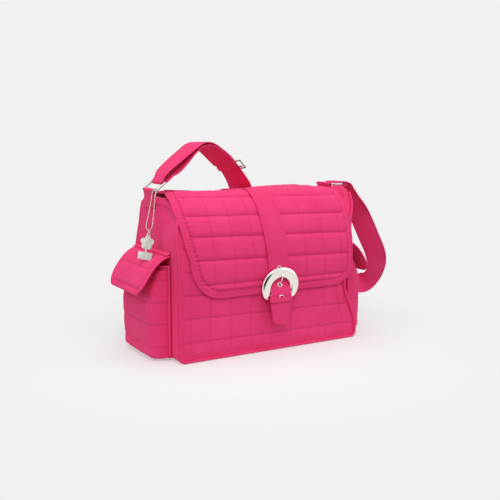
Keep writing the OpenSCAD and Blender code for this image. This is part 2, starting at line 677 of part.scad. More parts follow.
// Straight run through the slider: its way, the way its width runs and the way its outer face looks
slide_from = [-22.9, 63.2, body_h + 58.2];
slide_to = [1.5, 70.9, body_h + 36.8];
slide_side = [0.567, 0.352, 0.744];
slide_way = unit(slide_to - slide_from);
slide_across = unit(slide_side - (slide_side * slide_way) * slide_way);
slide_out = cross(slide_way, slide_across);
slide_mid = (slide_from + slide_to) / 2;
slider_loop_r = slider_t / 2 + seam / 2;
slider_end_gap = web_t / 2 + 2 * layer + slider_t / 2;
slider_mid_gap = web_t / 2 + layer + slider_loop_t + slider_loop_r;
function slide_station(along, out) =
    concat(slide_mid + along * slide_way + out * slide_out, slide_across);
// Stations of the webbing: place, then the way its width runs
outer_route = [left_station(1, 0), left_station(1, 3), left_station(1, 7),
    [-158, 21.5, body_h + 48.5, -0.35, 0.9, 0.22],
    [-131, 28, body_h + 68, -0.42, 0.85, 0.3], [-108, 35, body_h + 82, -0.35, 0.88, 0.3],
    [-83, 43.5, body_h + 88.5, -0.1, 0.82, 0.54], [-54, 52, body_h + 80.5, 0.25, 0.6, 0.75],
    slide_station(-20, slider_mid_gap), slide_station(-9, slider_mid_gap),
    slide_station(-slider_loop_r - slider_loop_t - layer, slider_mid_gap)];
inner_route = [left_station(-1, 0), left_station(-1, 3), left_station(-1, 7),
    [-152.8, 25.4, body_h + 40.9, -0.38, 0.9, 0.2],
    [-126.6, 33.2, body_h + 59.4, -0.43, 0.85, 0.3], [-105.3, 39.2, body_h + 72.8, -0.4, 0.87, 0.28],
    [-84.7, 48.2, body_h + 81, -0.2, 0.8, 0.56], [-56.8, 57, body_h + 76.4, 0.22, 0.6, 0.77],
    slide_station(-20, 0), slide_station(-9, 0), slide_station(10, 0), slide_station(26, 0),
    [18.5, 77.5, body_h + 17.5, 0.8, 0.12, 0.58],
    [27.5, 81.5, body_h + 3, 1, 0, 0.1]];
back_route = [[31, 83, body_h - 11, 1, 0, 0.1], [34, 91, body_h - 44, 1, 0, 0.2], [42, 99, 212, 1, 0, 0.5],
    [60, 102, 172, 0.8, 0, 0.8], [98, 102.5, 138, 0.5, 0, 1], [146, 103.5, 112, 0.3, 0, 1],
    [196, 108, 93, 0.15, 0, 1], [240, 110, 79, 0.1, 0.1, 1]];
side_route = [[241, 110.05, 78.7, 0.1, 0.1, 1], [250, 110.4, 75.8, 0.1, 0.1, 1], [297, 109, 64, 0, 0.15, 1],
    [336, 103, 58, -0.25, 0.15, 0.95], [362, 89, 63, -0.6, 0.1, 0.75], [376, 71, 80, -0.92, 0.05, 0.2],
    [378, 56, 108, -0.95, 0.3, -0.08], [365, 46, 140, -0.8, 0.55, -0.2], [340, 38, 181, -0.75, 0.6, -0.25],
    [309, 30, 231, -0.5, 0.86, -0.1], [288, 23, 262, -0.2, 0.97, 0.05], [270, 20, 279, -0.05, 0.99, 0.1],
    right_station(7), right_station(0)];
module strap_outer_run() color(deep_pink) web(outer_route);
module strap_inner_run() color(deep_pink) web(inner_route);
module strap_back_run() color(deep_pink) web(back_route);
module strap_side_run() color(deep_pink) web(side_route);
// Slider on the straight run: end bars behind the webbing, middle bar in front of it
module on_slide() multmatrix([for (i = [0:2])
    [slide_across[i], slide_way[i], -slide_out[i], slide_mid[i]]]) children();
module strap_slider() color(chrome) on_slide() translate([slider_shift, 0, 0]) {
    for (s = [-1, 1]) {
        translate([-slider_w / 2, s * (slider_len - slider_t) / 2 - slider_t / 2, slider_end_gap
            - slider_t / 2]) cube([slider_w, slider_t, slider_t]);
        translate([s * (slider_w - slider_t) / 2 - slider_t / 2, -slider_len / 2, -slider_mid_gap
            - slider_t / 2]) cube([slider_t, slider_len, slider_mid_gap + slider_end_gap + slider_t]);
    }
    translate([0, 0, -slider_mid_gap]) rotate([0, 90, 0])
        cylinder(h = slider_w - slider_t, r = slider_t / 2, center = true);
}
module strap_slider_loop() color(deep_pink) on_slide() translate([0, 0, -slider_mid_gap])
    rotate([0, 90, 0]) linear_extrude(height = web_w, center = true) difference() {
        circle(r = slider_loop_r + slider_loop_t);
        circle(r = slider_loop_r);
    }

// Ball chain looped over the left ring's bar, and the charm on it
chain_turn_r = ring_r + bead_r + 3.5 * layer;
chain_route = [[-tab_x, -9.4, ring_z + chain_turn_r], [-tab_x - chain_turn_r, -9.4, ring_z],
    [-tab_x - 6.5, -5, ring_z - 16], [-tab_x - 13.1, -5, ring_z - 42], [-tab_x - 20.6, -8.8, ring_z - 60.4],
    [-tab_x - 16.4, -12.5, ring_z - 68], [-tab_x - 12.2, -16.2, ring_z - 60.4],
    [-tab_x - 8.4, -16.2, ring_z - 42], [-tab_x - 4, -14.5, ring_z - 19], [-tab_x - 1, -11.6, ring_z - 7],
    [-tab_x + chain_turn_r, -9.6, ring_z - 1],
    [-tab_x + 0.75 * chain_turn_r, -9.5, ring_z + 0.75 * chain_turn_r],
    [-tab_x, -9.4, ring_z + chain_turn_r]];
chain_line = smooth(chain_route, 6);
chain_mark = [for (i = 0, m = 0; i < len(chain_line);
    m = m + norm(chain_line[min(i + 1, len(chain_line) - 1)] - chain_line[i]), i = i + 1) m];
function chain_axis(k) = [for (i = [0:len(chain_line) - 1]) [chain_mark[i], chain_line[i][k]]];
bead_count = floor(chain_mark[len(chain_mark) - 1] / bead_step);
function bead(i) = let (m = chain_mark[len(chain_mark) - 1] * (i % bead_count) / bead_count)
    [lookup(m, chain_axis(0)), lookup(m, chain_axis(1)), lookup(m, chain_axis(2))];
module ball_chain() color(old_silver) for (i = [0:bead_count - 1]) {
    a = bead(i);
    d = bead(i + 1) - a;
    translate(a) sphere(r = bead_r, $fn = 10);
    translate(a) rotate([0, acos(d.z / norm(d)), atan2(d.y, d.x)])
        cylinder(h = norm(d), r = bead_wire_r, $fn = 6);
}
charm_turn = -40;
charm_lean = 12;
hang = place(chain_route[5]) - [0, 0, jump_r - jump_wire_r - bead_r - 1];
module on_chain() translate(hang) rotate([0, charm_lean, 0]) rotate([0, 0, charm_turn]) children();
module jump_ring() color(old_silver) on_chain() rotate([0, 90, 0])
    rotate_extrude() translate([jump_r, 0]) circle(r = jump_wire_r);
// Flower of round petals on a stem over a bare bar plate
petal_r = flower_r * 0.42;
bail_r = 3.4;
module charm() {
    bail_z = -jump_r - 0.1;
    flower_z = bail_z - bail_r - flower_r + 1.5;
    stem_z = flower_z - flower_r + 2;
    color(old_silver) on_chain() rotate([90, 0, 0])
        linear_extrude(height = charm_t, center = true) {
            translate([0, bail_z]) difference() {
                circle(r = bail_r);
                circle(r = jump_wire_r + 0.5);
            }
            translate([0, flower_z]) {
                circle(r = flower_r - petal_r);
                for (i = [0:petals - 1]) rotate(90 + 360 * i / petals)
                    translate([flower_r - petal_r, 0]) circle(r = petal_r);
            }
            translate([-2, stem_z - stem_len]) square([4, stem_len + 2]);
            translate([-plate_w / 2, stem_z - stem_len - plate_h]) square([plate_w, plate_h + 0.5]);
        }
}

base_panel();
base_board();
front_panel();
back_panel();
left_gusset();
right_gusset();
lining();
front_piping();
back_piping();
left_pocket();
right_pocket();
left_pocket_hem();
right_pocket_hem();
left_pocket_piping();
right_pocket_piping();
left_pocket_flap();
right_pocket_flap();
left_pocket_binding();
right_pocket_binding();
flap_top();
flap_front();
flap_top_binding();
flap_binding();
flap_top_lining();
flap_lining();
closure_strap_top();
closure_strap();
eyelets();
buckle_frame();
buckle_prong();
buckle_chape();
keeper_loop();
snap_socket();
snap_stud();
left_tab();
right_tab();
left_ring();
right_ring();
strap_left_loop();
strap_outer_run();
strap_inner_run();
strap_slider();
strap_slider_loop();
strap_back_run();
strap_side_run();
strap_right_loop();
ball_chain();
jump_ring();
charm();
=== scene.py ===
"""Looks of a quilted flap bag with a buckled closing strap, side pockets and a shoulder strap."""
import json
import logging
import math
from dataclasses import dataclass, field
from enum import Enum

import bmesh
import bpy
import numpy as np
from mathutils import Matrix, Vector
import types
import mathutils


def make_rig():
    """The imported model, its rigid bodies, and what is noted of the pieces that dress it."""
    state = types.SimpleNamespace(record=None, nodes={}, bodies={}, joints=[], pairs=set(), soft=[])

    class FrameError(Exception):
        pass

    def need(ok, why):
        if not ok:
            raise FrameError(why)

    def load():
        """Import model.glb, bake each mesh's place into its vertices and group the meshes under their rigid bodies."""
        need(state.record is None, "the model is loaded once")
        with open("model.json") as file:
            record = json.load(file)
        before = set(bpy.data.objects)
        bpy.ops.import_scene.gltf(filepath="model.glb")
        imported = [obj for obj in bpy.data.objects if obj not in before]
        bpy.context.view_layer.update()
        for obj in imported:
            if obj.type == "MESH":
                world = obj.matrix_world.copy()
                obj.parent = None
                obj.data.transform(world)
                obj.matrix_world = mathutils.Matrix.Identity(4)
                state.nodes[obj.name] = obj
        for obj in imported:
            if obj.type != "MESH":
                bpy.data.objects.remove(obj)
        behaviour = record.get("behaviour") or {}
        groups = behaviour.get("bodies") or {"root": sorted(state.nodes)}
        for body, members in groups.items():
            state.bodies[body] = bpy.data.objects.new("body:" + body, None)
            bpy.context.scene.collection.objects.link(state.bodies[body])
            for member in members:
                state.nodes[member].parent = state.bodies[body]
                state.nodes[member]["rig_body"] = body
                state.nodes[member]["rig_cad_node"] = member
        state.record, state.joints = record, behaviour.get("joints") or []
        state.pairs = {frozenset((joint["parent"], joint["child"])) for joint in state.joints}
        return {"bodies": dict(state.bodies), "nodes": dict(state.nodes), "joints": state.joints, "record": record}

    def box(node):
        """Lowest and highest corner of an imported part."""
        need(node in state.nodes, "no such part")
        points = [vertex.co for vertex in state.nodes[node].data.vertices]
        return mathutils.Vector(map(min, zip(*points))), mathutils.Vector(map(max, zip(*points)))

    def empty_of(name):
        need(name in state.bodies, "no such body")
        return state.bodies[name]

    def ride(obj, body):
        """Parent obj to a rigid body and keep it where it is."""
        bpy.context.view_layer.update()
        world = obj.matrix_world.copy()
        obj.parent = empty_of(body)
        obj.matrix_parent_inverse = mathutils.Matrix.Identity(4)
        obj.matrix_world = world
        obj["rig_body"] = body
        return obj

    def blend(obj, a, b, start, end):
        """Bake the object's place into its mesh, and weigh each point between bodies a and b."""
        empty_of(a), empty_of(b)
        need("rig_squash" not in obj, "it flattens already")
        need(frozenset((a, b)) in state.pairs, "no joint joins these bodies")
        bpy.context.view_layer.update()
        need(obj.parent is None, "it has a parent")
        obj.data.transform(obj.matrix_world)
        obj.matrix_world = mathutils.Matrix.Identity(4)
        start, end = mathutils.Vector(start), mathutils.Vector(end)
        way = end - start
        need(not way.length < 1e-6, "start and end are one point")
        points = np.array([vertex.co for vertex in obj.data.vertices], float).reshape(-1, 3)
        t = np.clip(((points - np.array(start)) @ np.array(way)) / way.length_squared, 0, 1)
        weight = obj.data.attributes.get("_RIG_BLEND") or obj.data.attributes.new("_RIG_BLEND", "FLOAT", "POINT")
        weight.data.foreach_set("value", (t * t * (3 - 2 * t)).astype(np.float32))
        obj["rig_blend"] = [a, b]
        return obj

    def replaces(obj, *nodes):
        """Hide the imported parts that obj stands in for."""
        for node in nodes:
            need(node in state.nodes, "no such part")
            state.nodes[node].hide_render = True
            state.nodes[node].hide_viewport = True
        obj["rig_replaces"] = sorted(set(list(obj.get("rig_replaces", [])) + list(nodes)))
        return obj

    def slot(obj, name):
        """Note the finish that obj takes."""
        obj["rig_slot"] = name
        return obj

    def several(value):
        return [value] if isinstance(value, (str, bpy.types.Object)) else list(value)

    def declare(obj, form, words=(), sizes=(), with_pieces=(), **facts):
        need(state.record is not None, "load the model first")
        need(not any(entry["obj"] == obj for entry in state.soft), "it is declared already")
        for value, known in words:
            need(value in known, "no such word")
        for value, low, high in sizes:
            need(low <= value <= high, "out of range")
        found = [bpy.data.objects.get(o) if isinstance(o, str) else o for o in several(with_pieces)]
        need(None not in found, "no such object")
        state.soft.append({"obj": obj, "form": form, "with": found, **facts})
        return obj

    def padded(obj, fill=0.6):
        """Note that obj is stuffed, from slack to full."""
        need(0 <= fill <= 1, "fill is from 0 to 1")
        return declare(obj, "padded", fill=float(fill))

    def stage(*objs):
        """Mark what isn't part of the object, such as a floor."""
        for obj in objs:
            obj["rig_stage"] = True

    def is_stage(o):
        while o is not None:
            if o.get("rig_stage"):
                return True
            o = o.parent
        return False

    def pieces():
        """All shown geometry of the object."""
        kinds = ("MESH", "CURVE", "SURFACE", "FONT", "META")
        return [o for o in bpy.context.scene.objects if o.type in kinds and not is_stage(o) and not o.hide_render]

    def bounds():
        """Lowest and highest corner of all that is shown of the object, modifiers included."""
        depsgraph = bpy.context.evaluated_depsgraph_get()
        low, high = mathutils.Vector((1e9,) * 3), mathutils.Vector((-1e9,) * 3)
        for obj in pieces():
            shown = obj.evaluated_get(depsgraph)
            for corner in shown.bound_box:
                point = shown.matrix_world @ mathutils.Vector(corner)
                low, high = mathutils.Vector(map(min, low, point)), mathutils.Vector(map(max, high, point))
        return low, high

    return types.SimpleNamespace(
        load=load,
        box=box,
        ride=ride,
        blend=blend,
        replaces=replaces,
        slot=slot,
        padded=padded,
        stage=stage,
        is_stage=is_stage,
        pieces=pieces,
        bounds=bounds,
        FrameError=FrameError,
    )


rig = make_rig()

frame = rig.load()
CAD_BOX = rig.bounds()
LOG = logging.getLogger("flap_bag")
MM = 0.001
Array = np.ndarray
ALONG_X, ALONG_Y, ALONG_Z = np.eye(3)
RIM_STEPS = (0.5, 1.2, 2.2, 3.5, 5.0)


class Side(Enum):
    """Hand of a piece that comes in pairs; the value is the sign of X."""

    LEFT = -1
    RIGHT = 1

    @property
    def word(self) -> str:
        """Prefix of the hand in node and body names."""
        return self.name.lower()


# Mesh helpers, all in millimetres

def unit(v: Array) -> Array:
    """Vectors of length one along the last axis."""
    return v / np.maximum(np.linalg.norm(v, axis=-1, keepdims=True), 1e-9)


def ease(s: Array) -> Array:
    """Smooth step from 0 to 1."""
    u = np.clip(s, 0, 1)
    return u * u * (3 - 2 * u)


def waves(a: Array, b: Array, seed: float) -> Array:
    """Slow, repeatable unevenness between about -1 and 1.

    Args:
        a: First coordinate in millimetres.
        b: Second coordinate in millimetres.
        seed: Phase that sets this piece apart from the others.

    Returns:
        Uneven values of the same shape.
    """
    return (np.sin(a / 23 + 1.3 * seed + 1.7 * np.sin(b / 37 + seed))
            + np.sin(b / 19 + 2.1 * seed + 1.3 * np.sin(a / 29 + 2 * seed))
            + 0.6 * np.sin((a + 0.7 * b) / 11 + 3 * seed)) / 2.6


def nearest(values: Array, lines: Array) -> Array:
    """Distance from each value to the nearest of some lines."""
    return np.abs(values[..., None] - np.asarray(lines)).min(-1)


def bell(v: Array, width: float) -> Array:
    """Hump of height 1 at zero that is gone about two widths away."""
    return np.exp(-(v / width) ** 2)


def rounded(e: Array, reach: float) -> Array:
    """Share of the full height beside an edge that is rounded over a reach."""
    return np.sqrt(np.clip(1 - (1 - np.clip(e, 0, reach) / reach) ** 2, 0, 1))


def run_along(path: Array) -> Array:
    """Distance of each point of a path from its start."""
    return np.concatenate([[0], np.cumsum(np.linalg.norm(np.diff(path, axis=0), axis=1))])


def point_at(path: Array, run: Array, place: Array) -> Array:
    """Points of a path at distances from its start."""
    return np.stack([np.interp(place, run, path[:, k]) for k in range(3)], -1)


def smooth(points: Array, steps: int) -> Array:
    """Curve through stations, the same one as the solids follow.

    Args:
        points: Stations, one per row, each starting with its place.
        steps: Steps per stretch.

    Returns:
        Points along the curve.
    """
    p = np.asarray(points, float)
    last = len(p) - 1
    gaps = np.concatenate([[0], np.linalg.norm(np.diff(p[:, :3], axis=0), axis=1), [0]])
    out = []
    for i in range(last):
        a, b, c, d = p[max(i - 1, 0)], p[i], p[i + 1], p[min(i + 2, last)]
        start = (c - a) * gaps[i + 1] / (gaps[i] + gaps[i + 1])
        stop = (d - b) * gaps[i + 1] / (gaps[i + 1] + gaps[i + 2])
        for u in np.arange(steps) / steps:
            out.append(b + (c - b) * u * u * (3 - 2 * u) + start * u * (1 - u) ** 2 - stop * u * u * (1 - u))
    return np.array(out + [p[last]])


def headings(path: Array) -> Array:
    """Unit tangents of a path."""
    return unit(np.gradient(path, axis=0))


def place_mesh(name: str, points: Array, faces: list, seam: Array | None = None) -> bpy.types.Object:
    """Mesh object at the origin from points in millimetres, faces outwards, shaded smooth.

    Args:
        name: Name of the piece.
        points: Points in the shared frame.
        faces: Lists of point numbers.
        seam: Share of painted shade in the sewn channels, with the thread's darker tone, at each point, if the piece
            has any.

    Returns:
        The new object.
    """
    mesh = bpy.data.meshes.new(name)
    mesh.from_pydata((np.asarray(points).reshape(-1, 3) * MM).tolist(), [], faces)
    if seam is not None:
        # Painted shade: the sewn channels get a point attribute that darkens the cloth colour there, together with the
        # thread's darker tone.
        shade = mesh.attributes.new("Seam", "FLOAT", "POINT")
        shade.data.foreach_set("value", np.asarray(seam, np.float32).ravel())
    work = bmesh.new()
    work.from_mesh(mesh)
    bmesh.ops.remove_doubles(work, verts=work.verts, dist=1e-6)
    bmesh.ops.recalc_face_normals(work, faces=work.faces)
    work.to_mesh(mesh)
    work.free()
    mesh.polygons.foreach_set("use_smooth", [True] * len(mesh.polygons))
    piece = bpy.data.objects.new(name, mesh)
    bpy.context.scene.collection.objects.link(piece)
    return piece


def grid_quads(rows: int, cols: int, first: int = 0, wrap: bool = False) -> list:
    """Quads of a grid of points.

    Args:
        rows: Points down.
        cols: Points across.
        first: Number of the first point.
        wrap: Whether the last column joins the first.

    Returns:
        Faces as lists of point numbers.
    """
    across = cols if wrap else cols - 1
    return [[first + i * cols + j, first + i * cols + (j + 1) % cols,
             first + (i + 1) * cols + (j + 1) % cols, first + (i + 1) * cols + j]
            for i in range(rows - 1) for j in range(across)]


def slab(name: str, outer: Array, inner: Array, seam: Array | None = None) -> bpy.types.Object:
    """Closed padded sheet between two grids of points of the same shape.

    Args:
        name: Name of the piece.
        outer: Points of the outer face.
        inner: Points of the inner face.
        seam: Share of painted shade in the sewn channels, with the thread's darker tone, on the outer face.

    Returns:
        The new object.
    """
    rows, cols = outer.shape[:2]
    count = rows * cols
    faces = grid_quads(rows, cols) + [f[::-1] for f in grid_quads(rows, cols, count)]
    rim = ([i for i in range(cols)] + [i * cols + cols - 1 for i in range(1, rows)]
           + [(rows - 1) * cols + i for i in range(cols - 2, -1, -1)]
           + [i * cols for i in range(rows - 2, 0, -1)])
    for a, b in zip(rim, rim[1:] + rim[:1]):
        faces.append([b, a, a + count, b + count])
    shade = None if seam is None else np.concatenate([seam.ravel(), 0 * seam.ravel()])
    return place_mesh(name, np.concatenate([outer.reshape(-1, 3), inner.reshape(-1, 3)]), faces, shade)


def skin(name: str, rings: Array, closed: bool = False) -> bpy.types.Object:
    """Closed solid skinned over rings of points.

    Args:
        name: Name of the piece.
        rings: Array of rings by points by 3.
        closed: Whether the last ring joins the first.

    Returns:
        The new object.
    """
    count, around = rings.shape[:2]
    if closed:
        rings = np.concatenate([rings, rings[:1]])
        return place_mesh(name, rings, grid_quads(count + 1, around, wrap=True))
    faces = grid_quads(count, around, wrap=True)
    faces += [list(range(around))[::-1], [(count - 1) * around + k for k in range(around)]]
    return place_mesh(name, rings, faces)


def tube(name: str, path: Array, radius: float, way: tuple = (0, 1, 0), around: int = 12,
         closed: bool = False, uneven: float = 0.0) -> bpy.types.Object:
    """Round tube along a path that never runs along the given way.

    Args:
        name: Name of the piece.
        path: Points in order.
        radius: Radius of the tube.
        way: Direction that the path keeps away from.
        around: Points round the tube.
        closed: Whether the path is a loop.
        uneven: Share by which the radius swells and thins.

    Returns:
        The new object.
    """
    d = headings(path)
    a = unit(np.cross(d, np.array(way, float)))
    b = np.cross(d, a)
    turn = np.linspace(0, 2 * math.pi, around, endpoint=False)
    run = run_along(path)
    r = radius * (1 - uneven * (0.5 + 0.5 * np.sin(run / 5.3 + 1.7 * np.sin(run / 17))))
    rings = path[:, None] + r[:, None, None] * (np.cos(turn)[None, :, None] * a[:, None]
                                                + np.sin(turn)[None, :, None] * b[:, None])
    return skin(name, rings, closed)


def web_profile(half_w: float, half_t: float, inset: float = 4.2) -> Array:
    """Cross-section of stitched webbing: soft edges and a groove under each row of stitches.

    Args:
        half_w: Half of the width.
        half_t: Half of the thickness.
        inset: Distance of the stitches from the edge.

    Returns:
        Points in order, across and out.
    """
    top = [(-half_w, 0), (0.5 - half_w, 0.75 * half_t), (1.6 - half_w, half_t),
           (inset - 0.9 - half_w, half_t), (inset - half_w, 0.6 * half_t),
           (inset + 0.9 - half_w, half_t), (-half_w / 3, 1.05 * half_t)]
    upper = top + [(-x, y) for x, y in top[::-1]]
    lower = [(x, -y) for x, y in upper[1:-1]][::-1]
    return np.array(upper + lower)


@dataclass
class Band:
    """Flat strap along a route: places, the way its width runs, its width and its thickness."""

    path: Array
    across: Array
    width: Array | float
    thick: float
    stitch_inset: float = 4.2
    stitch_level: float = 0.36

    def __post_init__(self) -> None:
        """Gives every place of the route its width."""
        self.width = self.width + np.zeros(len(self.path))

    def frames(self) -> tuple[Array, Array]:
        """Works out the frame at each place.

        Returns:
            Unit width and face directions.
        """
        d = headings(self.path)
        b = unit(self.across - (self.across * d).sum(-1, keepdims=True) * d)
        return b, np.cross(d, b)

    def build(self, name: str, closed: bool = False) -> bpy.types.Object:
        """Skins the strap.

        Args:
            name: Name of the piece.
            closed: Whether the route is a loop.

        Returns:
            The new object.
        """
        b, n = self.frames()
        rings = []
        for i, p in enumerate(self.path):
            section = web_profile(self.width[i] / 2, self.thick / 2, self.stitch_inset)
            rings.append(p + section[:, :1] * b[i] + section[:, 1:] * n[i])
        return skin(name, np.array(rings), closed)

    def stitch_lines(self, faces: tuple[int, ...] = (1, -1)) -> list[tuple[Array, Array]]:
        """Stitch rows along both edges.

        Args:
            faces: Faces that carry stitches, 1 for the outer and -1 for the inner one.

        Returns:
            Paths and face directions.
        """
        b, n = self.frames()
        rows = []
        for face in faces:
            lift = face * self.stitch_level * self.thick * n
            for edge in (-1, 1):
                shift = edge * (self.width / 2 - self.stitch_inset)
                rows.append((self.path + shift[:, None] * b + lift, face * n))
        return rows


def thread(name: str, rows: list[tuple[Array, Array]], length: float = 2.9, pitch: float = 4.1,
           radius: float = 0.38) -> bpy.types.Object:
    """Rows of sewn stitches, each a short plump thread.

    Args:
        name: Name of the piece.
        rows: Paths with the way each face looks.
        length: Length of one stitch.
        pitch: Distance from stitch to stitch.
        radius: Radius of the thread.

    Returns:
        One object with every stitch.
    """
    points, faces = [], []
    sunk, flat = 0.3 * radius, 0.9 * radius
    for path, look in rows:
        run = run_along(path)
        for middle in np.arange(pitch, run[-1] - pitch / 2, pitch):
            ends = [point_at(path, run, middle + k * length) for k in (-0.5, -0.25, 0.25, 0.5)]
            up = unit(point_at(look, run, middle))
            side = unit(np.cross(ends[3] - ends[0], up))
            base = len(points)
            points.append(ends[0] - sunk * up)
            for e in ends[1:3]:
                points += [e + radius * side, e + flat * up, e - radius * side, e - flat * up]
            points.append(ends[3] - sunk * up)
            faces += [[base, base + 1 + (k + 1) % 4, base + 1 + k] for k in range(4)]
            faces += [[base + 1 + k, base + 1 + (k + 1) % 4, base + 5 + (k + 1) % 4, base + 5 + k]
                      for k in range(4)]
            faces += [[base + 9, base + 5 + k, base + 5 + (k + 1) % 4] for k in range(4)]
    return place_mesh(name, np.array(points), faces)


def copy_node(node: str, name: str) -> bpy.types.Object:
    """Copy of a solid's mesh with its corners merged, ready for a bevel.

    Args:
        node: Name of the solid.
        name: Name of the piece.

    Returns:
        The new object.
    """
    mesh = frame["nodes"][node].data.copy()
    mesh.materials.clear()
    piece = bpy.data.objects.new(name, mesh)
    bpy.context.scene.collection.objects.link(piece)
    select_only(piece)
    bpy.ops.object.mode_set(mode="EDIT")
    bpy.ops.mesh.select_all(action="SELECT")
    bpy.ops.mesh.remove_doubles(threshold=0.00002)
    bpy.ops.mesh.dissolve_limited(angle_limit=math.radians(2))
    bpy.ops.object.mode_set(mode="OBJECT")
    return piece


def select_only(*pieces: bpy.types.Object) -> None:
    """Selects these objects and no others, and makes the first one active.

    Args:
        pieces: The objects.
    """
    bpy.ops.object.select_all(action="DESELECT")
    for piece in pieces:
        piece.select_set(True)
    bpy.context.view_layer.objects.active = pieces[0]


def finish_with(piece: bpy.types.Object, kind: str, **values: object) -> None:
    """Adds a modifier and applies it.

    Args:
        piece: The object.
        kind: Kind of modifier.
        values: Its settings.
    """
    modifier = piece.modifiers.new(kind.title(), kind)
    for key, value in values.items():
        setattr(modifier, key, value)
    select_only(piece)
    bpy.ops.object.modifier_apply(modifier=modifier.name)


def join_pieces(parts: list[bpy.types.Object], name: str) -> None:
    """Joins parts into the first one, with its place in its mesh, and shades it smooth.

    Args:
        parts: The objects.
        name: Name of the joined piece.
    """
    select_only(*parts)
    bpy.ops.object.join()
    bpy.ops.object.transform_apply(location=True, rotation=True, scale=True)
    bpy.ops.object.shade_smooth()
    parts[0].name = name


def shade_by_angle(piece: bpy.types.Object, degrees: float) -> None:
    """Shades an object smooth, apart from edges sharper than an angle."""
    select_only(piece)
    bpy.ops.object.shade_smooth_by_angle(angle=math.radians(degrees))


def set_finish(piece: bpy.types.Object, material: bpy.types.Material) -> None:
    """Makes a material the only one of an object."""
    piece.data.materials.clear()
    piece.data.materials.append(material)


def dress(piece: bpy.types.Object, material: bpy.types.Material, slot: str,
          *nodes: str) -> bpy.types.Object:
    """Gives a piece its finish and says which solids it stands for.

    Args:
        piece: The object.
        material: Its finish.
        slot: Its material slot.
        nodes: Solids that it replaces.

    Returns:
        The same object.
    """
    set_finish(piece, material)
    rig.slot(piece, slot)
    if nodes:
        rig.replaces(piece, *nodes)
    LOG.info("%s: %d faces", piece.name, len(piece.data.polygons))
    return piece


def keep_node(node: str, material: bpy.types.Material) -> None:
    """Gives a finish to a solid that is shown as it is.

    Args:
        node: Name of the solid.
        material: Its finish.
    """
    solid = frame["nodes"][node]
    set_finish(solid, material)
    shade_by_angle(solid, 35)
    LOG.info("%s: solid kept", node)


# Finishes

@dataclass
class Graph:
    """Node tree with short ways to add nodes and to feed them."""

    tree: bpy.types.NodeTree

    def add(self, kind: str, inputs: dict | None = None, **settings: object) -> bpy.types.Node:
        """Adds a node.

        Args:
            kind: Kind of node, without its prefix.
            inputs: What goes into it, see feed.
            settings: Its settings.

        Returns:
            The new node.
        """
        node = self.tree.nodes.new(f"ShaderNode{kind}")
        for key, value in settings.items():
            setattr(node, key, value)
        self.feed(node, inputs or {})
        return node

    def feed(self, node: bpy.types.Node, inputs: dict) -> None:
        """Sets the inputs of a node.

        Args:
            node: The node.
            inputs: A value, or the socket that gives it, by the name or number of the input.
        """
        for key, value in inputs.items():
            if isinstance(value, bpy.types.NodeSocket):
                self.tree.links.new(value, node.inputs[key])
            else:
                node.inputs[key].default_value = value

    def mix(self, share: bpy.types.NodeSocket, none: object, full: object) -> bpy.types.NodeSocket:
        """Mixes two colours by a share."""
        return self.add("Mix", {"Factor": share, 6: none, 7: full}, data_type="RGBA").outputs[2]

    def noise(self, place: object, scale: object, **inputs: object) -> bpy.types.NodeSocket:
        """Noise of a scale."""
        return self.add("TexNoise", {"Vector": place, "Scale": scale, **inputs}).outputs["Fac"]

    def scaled(self, a: object, factor: object, plus: object) -> bpy.types.NodeSocket:
        """Multiplies a value and adds another."""
        return self.add("Math", {0: a, 1: factor, 2: plus}, operation="MULTIPLY_ADD").outputs[0]


class Effect(Graph):
    """Shared shader effect that gives a colour, a roughness and a height."""

    def __init__(self, name: str, colours: tuple[str, ...], numbers: tuple[str, ...]) -> None:
        """Makes the group with its inputs.

        Args:
            name: Name of the group.
            colours: Inputs that are colours.
            numbers: Inputs that are numbers.
        """
        super().__init__(bpy.data.node_groups.new(name, "ShaderNodeTree"))
        for way, kind, labels in (("INPUT", "Color", colours), ("INPUT", "Float", numbers),
                                  ("OUTPUT", "Color", ("Colour",)), ("OUTPUT", "Float", ("Rough", "Height"))):
            for label in labels:
                self.tree.interface.new_socket(label, in_out=way, socket_type=f"NodeSocket{kind}")
        self.given = self.tree.nodes.new("NodeGroupInput").outputs
        self.out = self.tree.nodes.new("NodeGroupOutput")
        self.place = self.add("TexCoord").outputs["Object"]

    def material(self, name: str, inputs: dict, bump: float, distance: float,
                 surface: dict) -> bpy.types.Material:
        """Makes a material that wears this effect.

        Args:
            name: Name of the material.
            inputs: Inputs of the effect.
            bump: Strength of its relief.
            distance: Depth of its relief in metres.
            surface: Other inputs of the surface.

        Returns:
            The new material.
        """
        stuff = bpy.data.materials.new(name)
        stuff.use_nodes = True
        graph = Graph(stuff.node_tree)
        made = graph.add("Group", inputs, node_tree=self.tree).outputs
        relief = graph.add("Bump", {"Strength": bump, "Distance": distance, "Height": made["Height"]})
        graph.feed(stuff.node_tree.nodes["Principled BSDF"],
                   {"Normal": relief.outputs["Normal"], "Base Color": made["Colour"],
                    "Roughness": made["Rough"], **surface})
        return stuff


